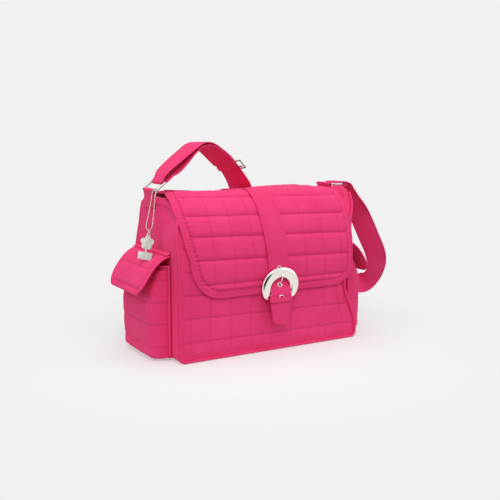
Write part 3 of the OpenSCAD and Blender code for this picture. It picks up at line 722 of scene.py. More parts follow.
def cloth_grain() -> Effect:
    """Shared effect of brushed cloth: a tone that drifts, a fine nap, and sewn lines darkened by painted shade in
    their channels and by the thread's darker tone.

    Returns:
        The new effect.
    """
    effect = Effect("ClothGrain", ("Tone", "Deep", "Seam Tone"), ("Nap Scale", "Drift Scale"))
    given = effect.given
    drift, nap = (effect.noise(effect.place, given[label], Detail=detail)
                  for label, detail in (("Drift Scale", 3), ("Nap Scale", 4)))
    weave = effect.add("TexVoronoi", {"Vector": effect.place, "Scale": given["Nap Scale"]})
    mottle = effect.scaled(nap, 0.45, drift)
    tones = effect.add("MapRange", {"Value": mottle, "From Min": 0.45, "From Max": 1.0})
    cloth = effect.mix(tones.outputs[0], given["Deep"], given["Tone"])
    # Painted shade: a point attribute darkens the colour in the sewn channels, standing in for their shade, with the
    # thread's darker tone.
    sewn = effect.add("Attribute", attribute_name="Seam").outputs["Fac"]
    rough = effect.add("MapRange", {"Value": nap, "To Min": 0.62, "To Max": 0.82})
    effect.feed(effect.out, {"Colour": effect.mix(sewn, cloth, given["Seam Tone"]), "Rough": rough.outputs[0],
                             "Height": effect.scaled(weave.outputs["Distance"], 0.6, nap)})
    return effect


def metal_wear() -> Effect:
    """Shared effect of handled metal: haze, fine scratches and dull hollows.

    Returns:
        The new effect.
    """
    effect = Effect("MetalWear", ("Bright", "Dull"), ("Amount", "Smooth"))
    given = effect.given
    stretched = effect.add("Mapping", {"Scale": (1, 1, 14), "Vector": effect.place}).outputs["Vector"]
    haze, scratch = effect.noise(effect.place, 160), effect.noise(stretched, 220)
    hollow = effect.add("Math", {0: haze, 1: given["Amount"]}, operation="MULTIPLY").outputs[0]
    effect.feed(effect.out, {"Colour": effect.mix(hollow, given["Bright"], given["Dull"]),
                             "Rough": effect.scaled(hollow, 0.35, given["Smooth"]), "Height": scratch})
    return effect


@dataclass(frozen=True)
class ClothFinish:
    """Brushed cloth of one tone."""

    name: str
    tone: tuple[float, float, float]
    deep: tuple[float, float, float]
    nap_scale: float = 1500.0
    drift_scale: float = 14.0
    bump: float = 0.18
    sheen: float = 0.07

    def material(self, grain: Effect) -> bpy.types.Material:
        """Builds the material.

        Args:
            grain: The shared cloth effect.

        Returns:
            The new material.
        """
        inputs = {"Tone": (*self.tone, 1), "Deep": (*self.deep, 1),
                  # Colour of the painted shade in the sewn channels, with the thread's darker tone: the deep tone
                  # darkened further.
                  "Seam Tone": tuple(0.6 * c for c in self.deep) + (1,),
                  "Nap Scale": self.nap_scale, "Drift Scale": self.drift_scale}
        surface = {"Sheen Weight": self.sheen, "Sheen Roughness": 0.45, "Sheen Tint": (1.0, 0.55, 0.72, 1),
                   "Specular IOR Level": 0.2}
        return grain.material(self.name, inputs, self.bump, 0.0004, surface)


@dataclass(frozen=True)
class MetalFinish:
    """Plated or aged metal."""

    name: str
    bright: tuple[float, float, float]
    dull: tuple[float, float, float]
    amount: float
    smooth: float
    bump: float = 0.03

    def material(self, wear: Effect) -> bpy.types.Material:
        """Builds the material.

        Args:
            wear: The shared metal effect.

        Returns:
            The new material.
        """
        inputs = {"Bright": (*self.bright, 1), "Dull": (*self.dull, 1), "Amount": self.amount,
                  "Smooth": self.smooth}
        return wear.material(self.name, inputs, self.bump, 0.0002, {"Metallic": 1.0})


class Finishes:
    """Every material of the bag, made once."""

    def __init__(self) -> None:
        """Builds the shared effects and the materials."""
        grain, wear = cloth_grain(), metal_wear()
        self.quilt = ClothFinish("PinkQuilt", (0.90, 0.050, 0.210), (0.81, 0.035, 0.166)).material(grain)
        self.trim = ClothFinish("PinkTrim", (0.88, 0.047, 0.195), (0.79, 0.033, 0.155)).material(grain)
        self.webbing = ClothFinish("PinkWebbing", (0.90, 0.048, 0.205), (0.80, 0.034, 0.16),
                                   nap_scale=1100).material(grain)
        self.thread = ClothFinish("PinkThread", (0.74, 0.036, 0.165), (0.66, 0.026, 0.135),
                                  nap_scale=2600, bump=0.3).material(grain)
        self.lining = ClothFinish("PaleLining", (0.80, 0.27, 0.40), (0.72, 0.22, 0.34),
                                  nap_scale=2200, bump=0.1, sheen=0.05).material(grain)
        self.board = ClothFinish("DarkBoard", (0.05, 0.05, 0.055), (0.035, 0.035, 0.04),
                                 sheen=0.0).material(grain)
        self.chrome = MetalFinish("Chrome", (0.89, 0.875, 0.81), (0.76, 0.745, 0.68), 0.15, 0.07,
                                  0.0).material(wear)
        self.steel = MetalFinish("Steel", (0.50, 0.49, 0.475), (0.28, 0.275, 0.27), 0.4, 0.2).material(wear)
        self.old_silver = MetalFinish("OldSilver", (0.80, 0.78, 0.72), (0.12, 0.115, 0.10), 0.65,
                                      0.2, 0.1).material(wear)


# Shape of the body

@dataclass
class BodyShape:
    """Outline of the bag's body, the same sizes as the solids."""

    half_w: float = 197.0
    half_d: float = 98.0
    height: float = 294.0
    top_front: float = -18.5
    top_back: float = 54.5
    shoulder: float = 150.0
    corner_r: float = 12.0
    draw_in: float = 11.0
    right_in: float = 29.0
    right_out: float = 13.0
    right_up: float = 13.0
    back_in: float = 13.0
    front_end: float = 62.0
    hinge_angle: float = 65.0
    profile: dict = field(default_factory=dict)

    def __post_init__(self) -> None:
        """Measures the side profile once, from the front edge of the base over the top to the back."""
        rise = self.height - self.shoulder
        turn = np.radians(np.linspace(0, 90, 120))
        front = np.stack([self.top_front - (self.half_d + self.top_front) * np.cos(turn),
                          self.shoulder + rise * np.sin(turn)], 1)
        back = np.stack([self.top_back + (self.half_d - self.top_back) * np.cos(turn[::-1]),
                         self.shoulder + rise * np.sin(turn[::-1])], 1)
        wall = np.linspace(0, self.shoulder, 80)[:-1]
        top = np.linspace(self.top_front, self.top_back, 40)[1:-1]
        line = np.concatenate([np.stack([0 * wall - self.half_d, wall], 1), front,
                               np.stack([top, 0 * top + self.height], 1), back,
                               np.stack([0 * wall + self.half_d, wall[::-1]], 1)])
        run = run_along(line)
        crease = run[len(wall) + len(front) - 1]
        d = headings(line)
        self.profile = {"s": crease - run[::-1], "line": line[::-1],
                        "look": np.stack([-d[:, 1], d[:, 0]], 1)[::-1]}

    def at(self, s: Array, out: Array) -> tuple[Array, Array]:
        """Depth and height at a distance along the profile from the top crease, positive to the front.

        Args:
            s: Distance along the profile.
            out: Distance outside the body.

        Returns:
            Depth and height.
        """
        p = self.profile
        y, z = (np.interp(s, p["s"], p["line"][:, k]) for k in (0, 1))
        ny, nz = (np.interp(s, p["s"], p["look"][:, k]) for k in (0, 1))
        size = np.hypot(ny, nz)
        return y + out * ny / size, z + out * nz / size

    def run_to_height(self, z: float, front: bool = True) -> float:
        """Distance along the profile at which the front or the back has a height.

        Args:
            z: Height.
            front: Whether it is the front.

        Returns:
            Distance from the top crease.
        """
        p = self.profile
        pick = (p["s"] >= 0) if front else (p["s"] <= -(self.top_back - self.top_front))
        s, heights = p["s"][pick], p["line"][pick, 1]
        order = np.argsort(heights)
        return float(np.interp(z, heights[order], s[order]))

    def pull(self, side: Array, y: Array, z: Array) -> Array:
        """How far the soft front is drawn in: its top at the left, its middle at the right.

        Above that middle, the right gusset bulges out in front of its tab.

        Args:
            side: Any values with the sign of the side.
            y: Depth.
            z: Height.

        Returns:
            Distance towards the middle.
        """
        left = self.draw_in * ease((z - 215) / 60) * ease((-2 - y) / 40)
        right = self.right_in * ease((z - 22) / 95) * ease((278 - z) / 75) * ease((-62 - y) / 34)
        swell = self.right_out * ease((z - 150) / 75) * ease((-9 - y) / 18) * ease((y + 92) / 30)
        return np.where(side < 0, left, right - swell)

    def ear(self, side: Array, y: Array, z: Array) -> Array:
        """How far the front corner of the right gusset stands up beside the flap."""
        rise = self.right_up * ease((z - 235) / 45) * ease((y + 78) / 26) * ease((-2 - y) / 16)
        return np.where(side > 0, rise, 0)

    def tuck(self, x: Array, y: Array, z: Array) -> Array:
        """How far the top back corners are drawn forwards."""
        return self.back_in * ease((np.abs(x) - 160) / 37) * ease((y - 30) / 45) * ease((z - 180) / 70)

    def half_outline(self, z: Array) -> Array:
        """Half width of the front outline at a height, with its rounded lower corners."""
        lift = np.clip(self.corner_r - z, 0, self.corner_r)
        return self.half_w - self.corner_r + np.sqrt(self.corner_r ** 2 - lift ** 2)


@dataclass
class Quilting:
    """Squares sewn into padding: places of the sewn lines and how far it puffs up."""

    columns: Array
    rows: Array
    row_puff: float
    column_puff: float
    seed: float = 0.0
    channel: float = 4.5

    def height(self, x: Array, s: Array) -> Array:
        """Puff of the padding, from 0 in the sewn channels upwards.

        Args:
            x: Distance across.
            s: Distance along.

        Returns:
            Height above the channel.
        """
        dx, ds = nearest(x, self.columns), nearest(s, self.rows)
        rise_row = 1 - np.exp(-(ds / self.channel) ** 1.2)
        rise_col = 1 - np.exp(-(dx / (0.6 * self.channel)) ** 1.2)
        pucker = (bell(ds, 7) * np.sin(x / 1.35 + 2.2 * np.sin(x / 17 + self.seed))
                  + 0.6 * bell(dx, 6) * np.sin(s / 1.3 + 2 * np.sin(s / 15 + self.seed)))
        return (self.row_puff * rise_row + self.column_puff * rise_col * (0.35 + 0.65 * rise_row)
                + 0.1 * pucker * self.row_puff + 0.25 * waves(x, s, self.seed) * rise_row)

    def seam(self, x: Array, s: Array) -> Array:
        """Share of painted shade in the sewn channels, with the thread's darker tone, from 0 on the padding to 1 in a
        row.
        """
        dx, ds = nearest(x, self.columns), nearest(s, self.rows)
        return np.maximum(0.5 * bell(ds, 1.3), 0.2 * bell(dx, 1.0))


def lines_through(start: float, stop: float, step: float, marks: Array) -> Array:
    """Places about a step apart that pass through marks, closer together at the marks and at both ends.

    Args:
        start: First place.
        stop: Last place.
        step: Usual distance.
        marks: Places to pass through.

    Returns:
        Places in rising order.
    """
    close = np.array([0, 0.9, 2.0, 3.4])
    ends = np.array([0, *RIM_STEPS])
    inside = np.array([m for m in marks if start + 9 < m < stop - 9])
    fixed = np.concatenate([start + ends, stop - ends]
                           + [m + close for m in inside] + [m - close[1:] for m in inside])
    rest = np.arange(start + 6.5, stop - 6.5, step)
    rest = rest[nearest(rest, fixed) > 0.6 * step]
    return np.sort(np.concatenate([fixed, rest]))


def spaced(start: float, stop: float, step: float, ends: tuple = RIM_STEPS) -> Array:
    """Places about a step apart, closer together towards both ends.

    Args:
        start: First place.
        stop: Last place.
        step: Usual distance.
        ends: Distances of the closer places from an end.

    Returns:
        Places in rising order.
    """
    inner = np.linspace(start + ends[-1], stop - ends[-1], max(int((stop - start) / step), 2))
    lead = [start + e for e in (0.0, *ends[:-1])]
    return np.concatenate([lead, inner, [stop - e for e in (*ends[:-1][::-1], 0.0)]])


# Sub-assemblies

@dataclass
class Flap:
    """Padded flap, with its sewn edge, lining and stitches.

    Its points are given by the distance across and the distance along the cloth from the top crease.
    """

    body: BodyShape
    finishes: Finishes
    hinge_half: float = 164.0
    crease_half: float = 172.0
    top_half: float = 188.0
    wide_half: float = 190.0
    edge_zs: tuple = (262.0, 240.0, 205.0)
    left_halves: tuple = (190.0, 186.0, 181.0, 173.0)
    right_halves: tuple = (187.5, 186.5, 186.0, 183.0)
    left_r: float = 62.0
    right_r: float = 44.0
    low_z: float = 112.0
    border: float = 15.0
    hem_stitch: float = 4.5
    strap_clear: float = 24.5
    floor_h: float = 4.4
    rim_h: float = 1.4
    inner_h: float = 1.6
    lining_h: float = 0.6
    lining_top: float = 1.3
    lining_inset: float = 6.0
    step: float = 2.3
    lining_step: float = 6.0
    pitch: float = 42.0
    row_zs: tuple = (284.5, 254.0, 218.8, 178.5, 137.5)
    column_xs: tuple = (-127.0, -86.0, -45.0, 70.0, 112.0, 153.0)
    row_tilt: float = 0.028
    straight: float = 158.0
    sag_depth: float = 8.0
    fold_start: tuple = (0, -8 * MM, 302 * MM)
    fold_end: tuple = (0, -34 * MM, 302 * MM)

    def __post_init__(self) -> None:
        """Works out the run of the flap and the places of its quilting."""
        b = self.body
        self.s_low = b.run_to_height(self.low_z)
        self.s_hinge = b.run_to_height(b.shoulder + (b.height - b.shoulder)
                                       * math.sin(math.radians(b.hinge_angle + 0.3)), front=False)
        front_rows = np.array([b.run_to_height(z) for z in self.row_zs])
        rows = np.concatenate([front_rows, front_rows[0] - self.pitch * np.arange(1, 4)])
        self.quilting = Quilting(np.array(self.column_xs), rows, 3.3, 0.8, seed=0.7)

    def half(self, side: Array, t: Array) -> Array:
        """Half width of the flap.

        Args:
            side: Any values with the sign of the side.
            t: Distance along the cloth.

        Returns:
            Half widths.
        """
        run = [self.body.run_to_height(z) for z in self.edge_zs]
        halves = []
        for low, r in ((self.left_halves, self.left_r), (self.right_halves, self.right_r)):
            stops = [self.s_hinge, -20, 0, 5, 12, 20, *run, self.s_low - r]
            wide = [self.hinge_half, self.crease_half - 2, self.crease_half + 2, 180, self.top_half - 1.5,
                    self.top_half, *low]
            lift = np.clip(t - self.s_low + r, 0, r)
            halves.append(np.interp(t, stops, wide) - r + np.sqrt(r ** 2 - lift ** 2))
        return np.where(np.asarray(side) < 0, *halves)

    def edge(self, x: Array, t: Array) -> Array:
        """Distance inside the flap's outline, leaving out the sewn edge.

        Args:
            x: Distance across.
            t: Distance along the cloth.

        Returns:
            Distances, positive inside.
        """
        a = np.abs(x)
        r = np.where(x < 0, self.left_r, self.right_r)
        low = np.where(x < 0, self.left_halves[-1], self.right_halves[-1])
        side = np.where(t < self.s_low - r, self.half(x, t), low) - a
        corner = r - np.hypot(a - low + r, t - self.s_low + r)
        return np.where((a > low - r) & (t > self.s_low - r), corner, np.minimum(side, self.s_low - t))

    def inside(self, x: Array, t: Array) -> Array:
        """Share of quilting, from 0 on the border to 1."""
        return ease((self.edge(x, t) - self.border + 2.5) / 5)

    def outer(self, x: Array, t: Array) -> Array:
        """Height of the padded outer face.

        Args:
            x: Distance across.
            t: Distance along the cloth.

        Returns:
            Distance from the body.
        """
        e = self.edge(x, t)
        inside = self.inside(x, t)
        along = np.where(np.abs(x) > 130, t, x)
        strong = np.where(x < 0, 1.7, 0.9)
        gather = strong * np.sin(along / 1.15 + 1.8 * np.sin(along / 9)) * bell(e - self.border, 6)
        hem = 1.7 - 1.9 * bell(e - self.border, 2.2) - 0.6 * bell(e - self.hem_stitch, 1.3)
        under_strap = 1 - 0.5 * np.exp(-(x / 25) ** 4)
        top = self.floor_h + under_strap * (inside * self.quilting.height(x, t) + (1 - inside) * hem) + (
            gather * under_strap * (1 - 0.6 * inside))
        return self.inner_h + self.rim_h + (top - self.inner_h - self.rim_h) * rounded(e, 3.0)

    def seam(self, x: Array, t: Array) -> Array:
        """Share of painted shade in the sewn channels of the quilting and along the border, with the thread's darker
        tone.

        Args:
            x: Distance across.
            t: Distance along the cloth.

        Returns:
            Share of painted shade from 0 to 1.
        """
        e = self.edge(x, t)
        # Painted shade along the border's sewn line and the hem stitches.
        border = 0.4 * bell(e - self.border, 1.5) + 0.2 * bell(e - self.hem_stitch, 1.0)
        return np.maximum(self.inside(x, t) * self.quilting.seam(x, t), border)

    def surface(self, x: Array, t: Array, out: Array) -> Array:
        """Points of the flap; the cloth hangs a little askew between its edges.

        Args:
            x: Distance across.
            t: Distance along the cloth.
            out: Distance from the body.

        Returns:
            Points in the shared frame.
        """
        askew = ease((self.s_low - t) / 60) * ease((t - self.s_hinge) / 60)
        y, z = self.body.at(t + self.row_tilt * x * askew, out)
        return np.stack([x, y, z - self.sag(x, y)], -1)

    def sag(self, x: Array, y: Array) -> Array:
        """How far the top hangs down between its ends."""
        return self.sag_depth * bell(x + 45, 85) * ease((y + 30) / 40) * ease((80 - y) / 22)

    def grid(self, step: float, inset: float = 0.0) -> tuple[Array, Array]:
        """Grid over the flap, drawn in along its rounded outline.

        Args:
            step: Usual distance of the lines.
            inset: How far the grid stays inside the outline.

        Returns:
            Distances across and along the cloth.
        """
        t = lines_through(self.s_hinge, self.s_low - inset, step, self.quilting.rows)
        x = lines_through(-self.wide_half, self.wide_half, step, self.quilting.columns)
        half = self.half(x[None, :], t[:, None]) - inset
        middle = np.minimum(self.straight, half - 28)
        a = np.abs(x)[None, :]
        rim = middle + (a - self.straight) / (self.wide_half - self.straight) * (half - middle)
        across = np.sign(x) * np.where(a < self.straight, a / self.straight * middle, rim)
        return across, np.repeat(t[:, None], len(x), 1)

    def build(self) -> None:
        """Makes the flap, its lining, its stitches and its sewn edge."""
        f = self.finishes
        grid = self.grid(self.step)
        piece = slab("flap_quilt", self.surface(*grid, self.outer(*grid)),
                     self.surface(*grid, self.inner_h + 0 * grid[0]), self.seam(*grid))
        dress(piece, f.quilt, "quilt", "flap_top", "flap_front", "flap_top_binding", "flap_binding")
        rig.padded(piece, 0.45)
        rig.blend(piece, "flap", "flap_front", self.fold_start, self.fold_end)
        grid = self.grid(self.lining_step, self.lining_inset)
        piece = slab("flap_lining_cloth", self.surface(*grid, self.lining_top + 0 * grid[0]),
                     self.surface(*grid, self.lining_h + 0 * grid[0]))
        dress(piece, f.lining, "lining", "flap_top_lining", "flap_lining")
        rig.blend(piece, "flap", "flap_front", self.fold_start, self.fold_end)
        piece = dress(thread("flap_stitches", self.sewn_rows()), f.thread, "trim")
        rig.blend(piece, "flap", "flap_front", self.fold_start, self.fold_end)
        self.build_sewn_edge()

    def sewn_rows(self) -> list[tuple[Array, Array]]:
        """Stitch rows of the quilting and of the border, apart from the closing strap.

        Returns:
            Paths and face directions.
        """
        lines = []
        for t in self.quilting.rows:
            reach = self.half(np.array([-1, 1]), t) - self.border - 2
            x = np.linspace(-reach[0], reach[1], 160)
            lines.append((x, t + 0 * x))
        for c in self.quilting.columns:
            t = np.linspace(self.s_hinge + 12, self.s_low - self.border - 2, 140)
            t = t[self.edge(c + 0 * t, t) > self.border + 1]
            lines.append((c + 0 * t, t))
        turn = np.radians(np.linspace(0, 90, 24))[1:]
        corners = ((-1, self.left_halves[-1], self.left_r), (1, self.right_halves[-1], self.right_r))
        for inset in (self.hem_stitch, self.border):
            for side, low, r in corners:
                t = np.linspace(self.s_hinge + 8, self.s_low - r, 120)
                round_x = low - r + (r - inset) * np.cos(turn)
                round_t = self.s_low - r + (r - inset) * np.sin(turn)
                x = side * np.concatenate([self.half(side, t) - inset, round_x, [30]])
                lines.append((x, np.concatenate([t, round_t, round_t[-1:]])))
        rows = []
        for x, t in lines:
            keep = np.abs(x) > self.strap_clear
            for part in (keep & (x < 0), keep & (x > 0)):
                if part.sum() > 3:
                    out = self.outer(x[part], t[part])
                    low = self.surface(x[part], t[part], out + 0.1)
                    rows.append((low, unit(self.surface(x[part], t[part], out + 1) - low)))
        return rows

    def build_sewn_edge(self) -> None:
        """Makes the folded tape that joins the flap to the back panel."""
        s = np.linspace(self.s_hinge - 16, self.s_hinge + 9, 14)
        x = np.linspace(-self.hinge_half + 1, self.hinge_half - 1, 90)
        grid = np.meshgrid(x, s)
        lift = 4.6 + 1.6 * ease((grid[1] - self.s_hinge + 9) / 12) + 0.25 * waves(*grid, 4.0)
        piece = slab("flap_sewn_edge", self.surface(*grid, lift + 1.5), self.surface(*grid, lift))
        dress(piece, self.finishes.trim, "trim")
        y, z = self.body.at(np.array([self.s_hinge - 7, self.s_hinge + 7]), np.array([5.0, 6.0]))
        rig.blend(piece, "bag", "flap", (0, y[0] * MM, z[0] * MM), (0, y[1] * MM, z[1] * MM))


@dataclass
class Shell:
    """Body panels with their piping, lining and base."""

    body: BodyShape
    finishes: Finishes
    wall: float = 4.0
    step: float = 3.0
    stitch_margin: float = 14.0
    inside_gap: float = 4.2
    base_step: float = 8.0
    piping_r: float = 2.5
    piping_gap: float = -1.5
    row_zs: tuple = (244.0, 202.0, 160.0, 118.0, 76.0, 34.0)
    column_xs: tuple = (-174.0, -133.0, -91.0, -49.0, -5.0, 39.0, 80.0, 121.0, 162.0)
    row_tilt: float = 0.022

    def top_run(self, front: bool) -> float:
        """Distance along the profile of a panel's top edge.

        Args:
            front: Whether it is the front panel.

        Returns:
            Distance from the top crease.
        """
        b = self.body
        angle = math.radians(b.front_end if front else b.hinge_angle)
        return b.run_to_height(b.shoulder + (b.height - b.shoulder) * math.sin(angle), front)

    def quilting(self, front: bool) -> Quilting:
        """Sewn lines of the front or the back panel."""
        rows = np.array([self.body.run_to_height(z, front) for z in self.row_zs])
        return Quilting(np.array(self.column_xs), rows, 1.2, 0.6, seed=1.9 if front else 3.1)

    def panel(self, x: Array, t: Array, out: Array, front: bool) -> Array:
        """Points of a panel; its cloth hangs a little askew between its edges.

        Args:
            x: Distance across.
            t: Distance along the cloth.
            out: Distance outside the body.
            front: Whether it is the front panel.

        Returns:
            Points in the shared frame.
        """
        low = self.body.run_to_height(0, front)
        askew = ease(np.abs(low - t) / 60) * ease(np.abs(t - self.top_run(front)) / 60)
        y, z = self.body.at(t + self.row_tilt * x * askew, out)
        drawn = self.body.pull(x, y, z) * (np.abs(x) / self.body.half_w) ** 3
        rise = self.body.ear(x, y, z) * ease((np.abs(x) - 178) / 16)
        return np.stack([x - np.sign(x) * drawn, y - self.body.tuck(x, y, z), z + rise], -1)

    def build_panel(self, front: bool) -> None:
        """Makes a quilted panel.

        Args:
            front: Whether it is the front panel.
        """
        b, quilting = self.body, self.quilting(front)
        low = b.run_to_height(0.6, front)
        t = lines_through(*sorted((self.top_run(front), low)), self.step, quilting.rows)
        x = lines_through(-b.half_w, b.half_w, self.step, quilting.columns)
        _, z = b.at(t, 0 * t)
        half = b.half_outline(np.clip(z, 0, None)) - 0.4
        gx, gt = x[None, :] * (half / b.half_w)[:, None], np.repeat(t[:, None], len(x), 1)
        e = np.minimum(half[:, None] - np.abs(gx), np.abs(gt - low))
        inside = ease((e - 8) / 9)
        out = inside * quilting.height(gx, gt) - 1.8 + 0.8 * ease(e / 6) + 0.4 * waves(gx, gt, 2.2) * inside
        name = "front_quilt" if front else "back_quilt"
        # The last argument is painted shade in the panel's sewn channels, with the thread's darker tone.
        piece = slab(name, self.panel(gx, gt, out, front), self.panel(gx, gt, 0 * gx - self.wall, front),
                     inside * quilting.seam(gx, gt))
        dress(piece, self.finishes.quilt, "quilt", "front_panel" if front else "back_panel")
        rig.padded(piece, 0.3)
        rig.ride(piece, "bag")
        self.build_panel_stitches(quilting, front)

    def build_panel_stitches(self, quilting: Quilting, front: bool) -> None:
        """Makes the stitches in the channels of a panel.

        Args:
            quilting: Its sewn lines.
            front: Whether it is the front panel.
        """
        b = self.body
        low, high = b.run_to_height(12, front), b.run_to_height(250, front)
        lines = []
        for t in quilting.rows:
            x = np.linspace(-b.half_w + self.stitch_margin, b.half_w - self.stitch_margin, 160)
            lines.append((x, t + 0 * x))
        for c in quilting.columns:
            t = np.linspace(high, low, 120)
            lines.append((c + 0 * t, t))
        rows = []
        for x, t in lines:
            out = quilting.height(x, t) - 0.9
            path = self.panel(x, t, out, front)
            rows.append((path, self.panel(x, t, out + 1, front) - path))
        name = "front_stitches" if front else "back_stitches"
        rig.ride(dress(thread(name, rows), self.finishes.thread, "trim"), "bag")

    def build_gusset(self, side: Side) -> None:
        """Makes a side gusset with its soft folds and its turned-in top.

        Args:
            side: Hand of the gusset.
        """
        b = self.body
        c = b.half_w - b.corner_r
        turn = np.radians(np.linspace(0, 84, 10))
        wall = np.linspace(b.height - 4.4, b.corner_r, 100)[:-1]
        arc = np.stack([np.cos(turn), -np.sin(turn)], 1)
        path = np.concatenate([np.stack([0 * wall + b.half_w, wall], 1), [c, b.corner_r] + b.corner_r * arc])
        look = np.concatenate([np.stack([0 * wall + 1, 0 * wall], 1), arc])
        u = spaced(0, 1, 0.014, ends=(0.004, 0.01, 0.02, 0.03, 0.045))
        rise = b.height - b.shoulder - self.inside_gap
        lift = np.sqrt(np.clip(1 - (np.clip(path[:, 1] - b.shoulder, 0, rise) / rise) ** 2, 0, 1))
        front = b.top_front - (b.half_d + b.top_front - self.inside_gap) * lift
        back = b.top_back + (b.half_d - b.top_back - self.inside_gap) * lift
        y = front[:, None] + u[None, :] * (back - front)[:, None]
        z = np.repeat(path[:, 1:], len(u), 1)
        slack = np.sin(math.pi * u)[None, :] ** 0.7
        dent = -0.9 + (0.6 * waves(y, z, 5 + side.value) + self.folds(y, z)) * slack
        shape = []
        for h in (dent, 0 * dent - self.wall):
            xs = side.value * (path[:, :1] + h * look[:, :1] - b.pull(side.value, y, z))
            zs = np.maximum(path[:, 1:] + h * look[:, 1:], 0.5) + b.ear(side.value, y, z)
            shape.append(np.stack([xs, y - b.tuck(b.half_w, y, z), zs], -1))
        piece = slab(f"{side.word}_gusset_cloth", shape[0], shape[1])
        dress(piece, self.finishes.quilt, "quilt", f"{side.word}_gusset")
        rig.padded(piece, 0.2)
        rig.ride(piece, "bag")
        self.build_lip(side)

    @staticmethod
    def folds(y: Array, z: Array) -> Array:
        """Folds that spread from the drawn-in corner of a gusset.

        Args:
            y: Depth.
            z: Height.

        Returns:
            Distance outwards.
        """
        away = np.hypot(y + 62, z - 262)
        turn = np.arctan2(262 - z, y + 62)
        spread = 2.4 * bell(away - 26, 20) * np.cos((turn - 0.35) / 0.085 * 0.5)
        crease = -1.6 * bell(y + 42 - 0.3 * (z - 230), 6) * ease((z - 150) / 60)
        return spread * ease((turn + 0.5) / 0.4) * ease((1.9 - turn) / 0.4) + crease

    def build_lip(self, side: Side) -> None:
        """Makes the top of a gusset that is turned in under the flap.

        Args:
            side: Hand of the gusset.
        """
        b = self.body
        s = np.linspace(self.top_run(False) + 3, self.top_run(True) - 1, 90)
        section = smooth(np.array([[0.5, -15], [0.7, -10], [2.2, -6.2],
                                   [6.5, -4.4], [15, -4.2], [28, -5.5]]), 4)
        d = headings(section)
        shape = []
        for deep in (0.0, 1.6):
            a = section[:, 0] + deep * d[:, 1]
            out = section[:, 1] - deep * d[:, 0]
            gs, ga = np.meshgrid(s, a)
            sag = 0.7 * waves(gs, ga, 9 + side.value) * ease((ga - 3) / 8)
            y, z = b.at(gs, np.repeat(out[:, None], len(s), 1) + sag)
            shape.append(np.stack([side.value * (b.half_w - ga - b.pull(side.value, y, z)),
                                   y - b.tuck(b.half_w, y, z),
                                   z + b.ear(side.value, y, z + 6) * ease((16 - ga) / 12)], -1))
        piece = slab(f"{side.word}_gusset_lip", shape[0], shape[1])
        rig.ride(dress(piece, self.finishes.quilt, "quilt"), "bag")

    def build_piping(self, front: bool) -> None:
        """Makes the piping round a panel.

        Args:
            front: Whether it is the front panel.
        """
        b, gap = self.body, self.piping_r + 0.3
        s = np.linspace(self.top_run(front), b.run_to_height(b.corner_r, front), 90)
        y, z = b.at(s, 0 * s + self.piping_r + self.piping_gap)
        c, r = b.half_w - b.corner_r, b.corner_r - gap
        turn = np.radians(np.linspace(0, 90, 12))[1:]
        flat = (-1 if front else 1) * (b.half_d + self.piping_r + self.piping_gap)
        corner = np.stack([c + r * np.cos(turn), 0 * turn + flat, b.corner_r - r * np.sin(turn)], 1)
        depth = y - b.tuck(b.half_w, y, z)
        sides = [np.stack([b.half_w - gap - b.pull(k, y, z), depth, z + b.ear(k, y, z)], 1) for k in (1, -1)]
        right, left = (np.concatenate([side, corner]) for side in sides)
        bottom = np.linspace(c, -c, 90)[1:-1]
        path = np.concatenate([right, np.stack([bottom, 0 * bottom + flat, 0 * bottom + gap], 1),
                               left[::-1] * [-1, 1, 1]])
        word = "front" if front else "back"
        piece = tube(f"{word}_piping_cord", path, self.piping_r, uneven=0.05)
        dress(piece, self.finishes.trim, "trim", f"{word}_piping")
        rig.ride(piece, "bag")

    def build_inside(self) -> None:
        """Makes the lining, the base cloth and the finish of the base board."""
        piece = copy_node("lining", "lining_cloth")
        finish_with(piece, "TRIANGULATE")
        finish_with(piece, "SUBSURF", subdivision_type="SIMPLE", levels=3)
        co = np.array([v.co for v in piece.data.vertices]) / MM
        sway = 0.5 * waves(co[:, 0] + co[:, 1], co[:, 2], 6.0)
        co = co * (1 - 0.002 * np.abs(sway)[:, None] * [1, 1, 0])
        inwards = np.maximum(self.body.pull(co[:, 0], co[:, 1] - 6, co[:, 2] + 6), 0)
        co[:, 0] -= np.sign(co[:, 0]) * inwards * ease((np.abs(co[:, 0]) - 100) / 90)
        co[:, 1] -= self.body.tuck(co[:, 0] * 1.03, co[:, 1] + 6, co[:, 2] + 6)
        piece.data.vertices.foreach_set("co", (co * MM).ravel())
        dress(piece, self.finishes.lining, "lining", "lining")
        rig.ride(piece, "bag")
        b = self.body
        x = spaced(-b.half_w + b.corner_r + 0.2, b.half_w - b.corner_r - 0.2, self.base_step)
        y = spaced(-b.half_d + self.inside_gap, b.half_d - self.inside_gap, self.base_step)
        gx, gy = np.meshgrid(x, y)
        sag = 0.25 * (1 + waves(gx, gy, 7.0))
        piece = slab("base_cloth", np.stack([gx, gy, 0.1 + sag], -1),
                     np.stack([gx, gy, self.wall + 0 * gx], -1))
        dress(piece, self.finishes.trim, "quilt", "base_panel")
        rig.padded(piece, 0.2)
        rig.ride(piece, "bag")
        keep_node("base_board", self.finishes.board)

    def build(self) -> None:
        """Makes the whole body."""
        for front in (True, False):
            self.build_panel(front)
            self.build_piping(front)
        for side in Side:
            self.build_gusset(side)
        self.build_inside()


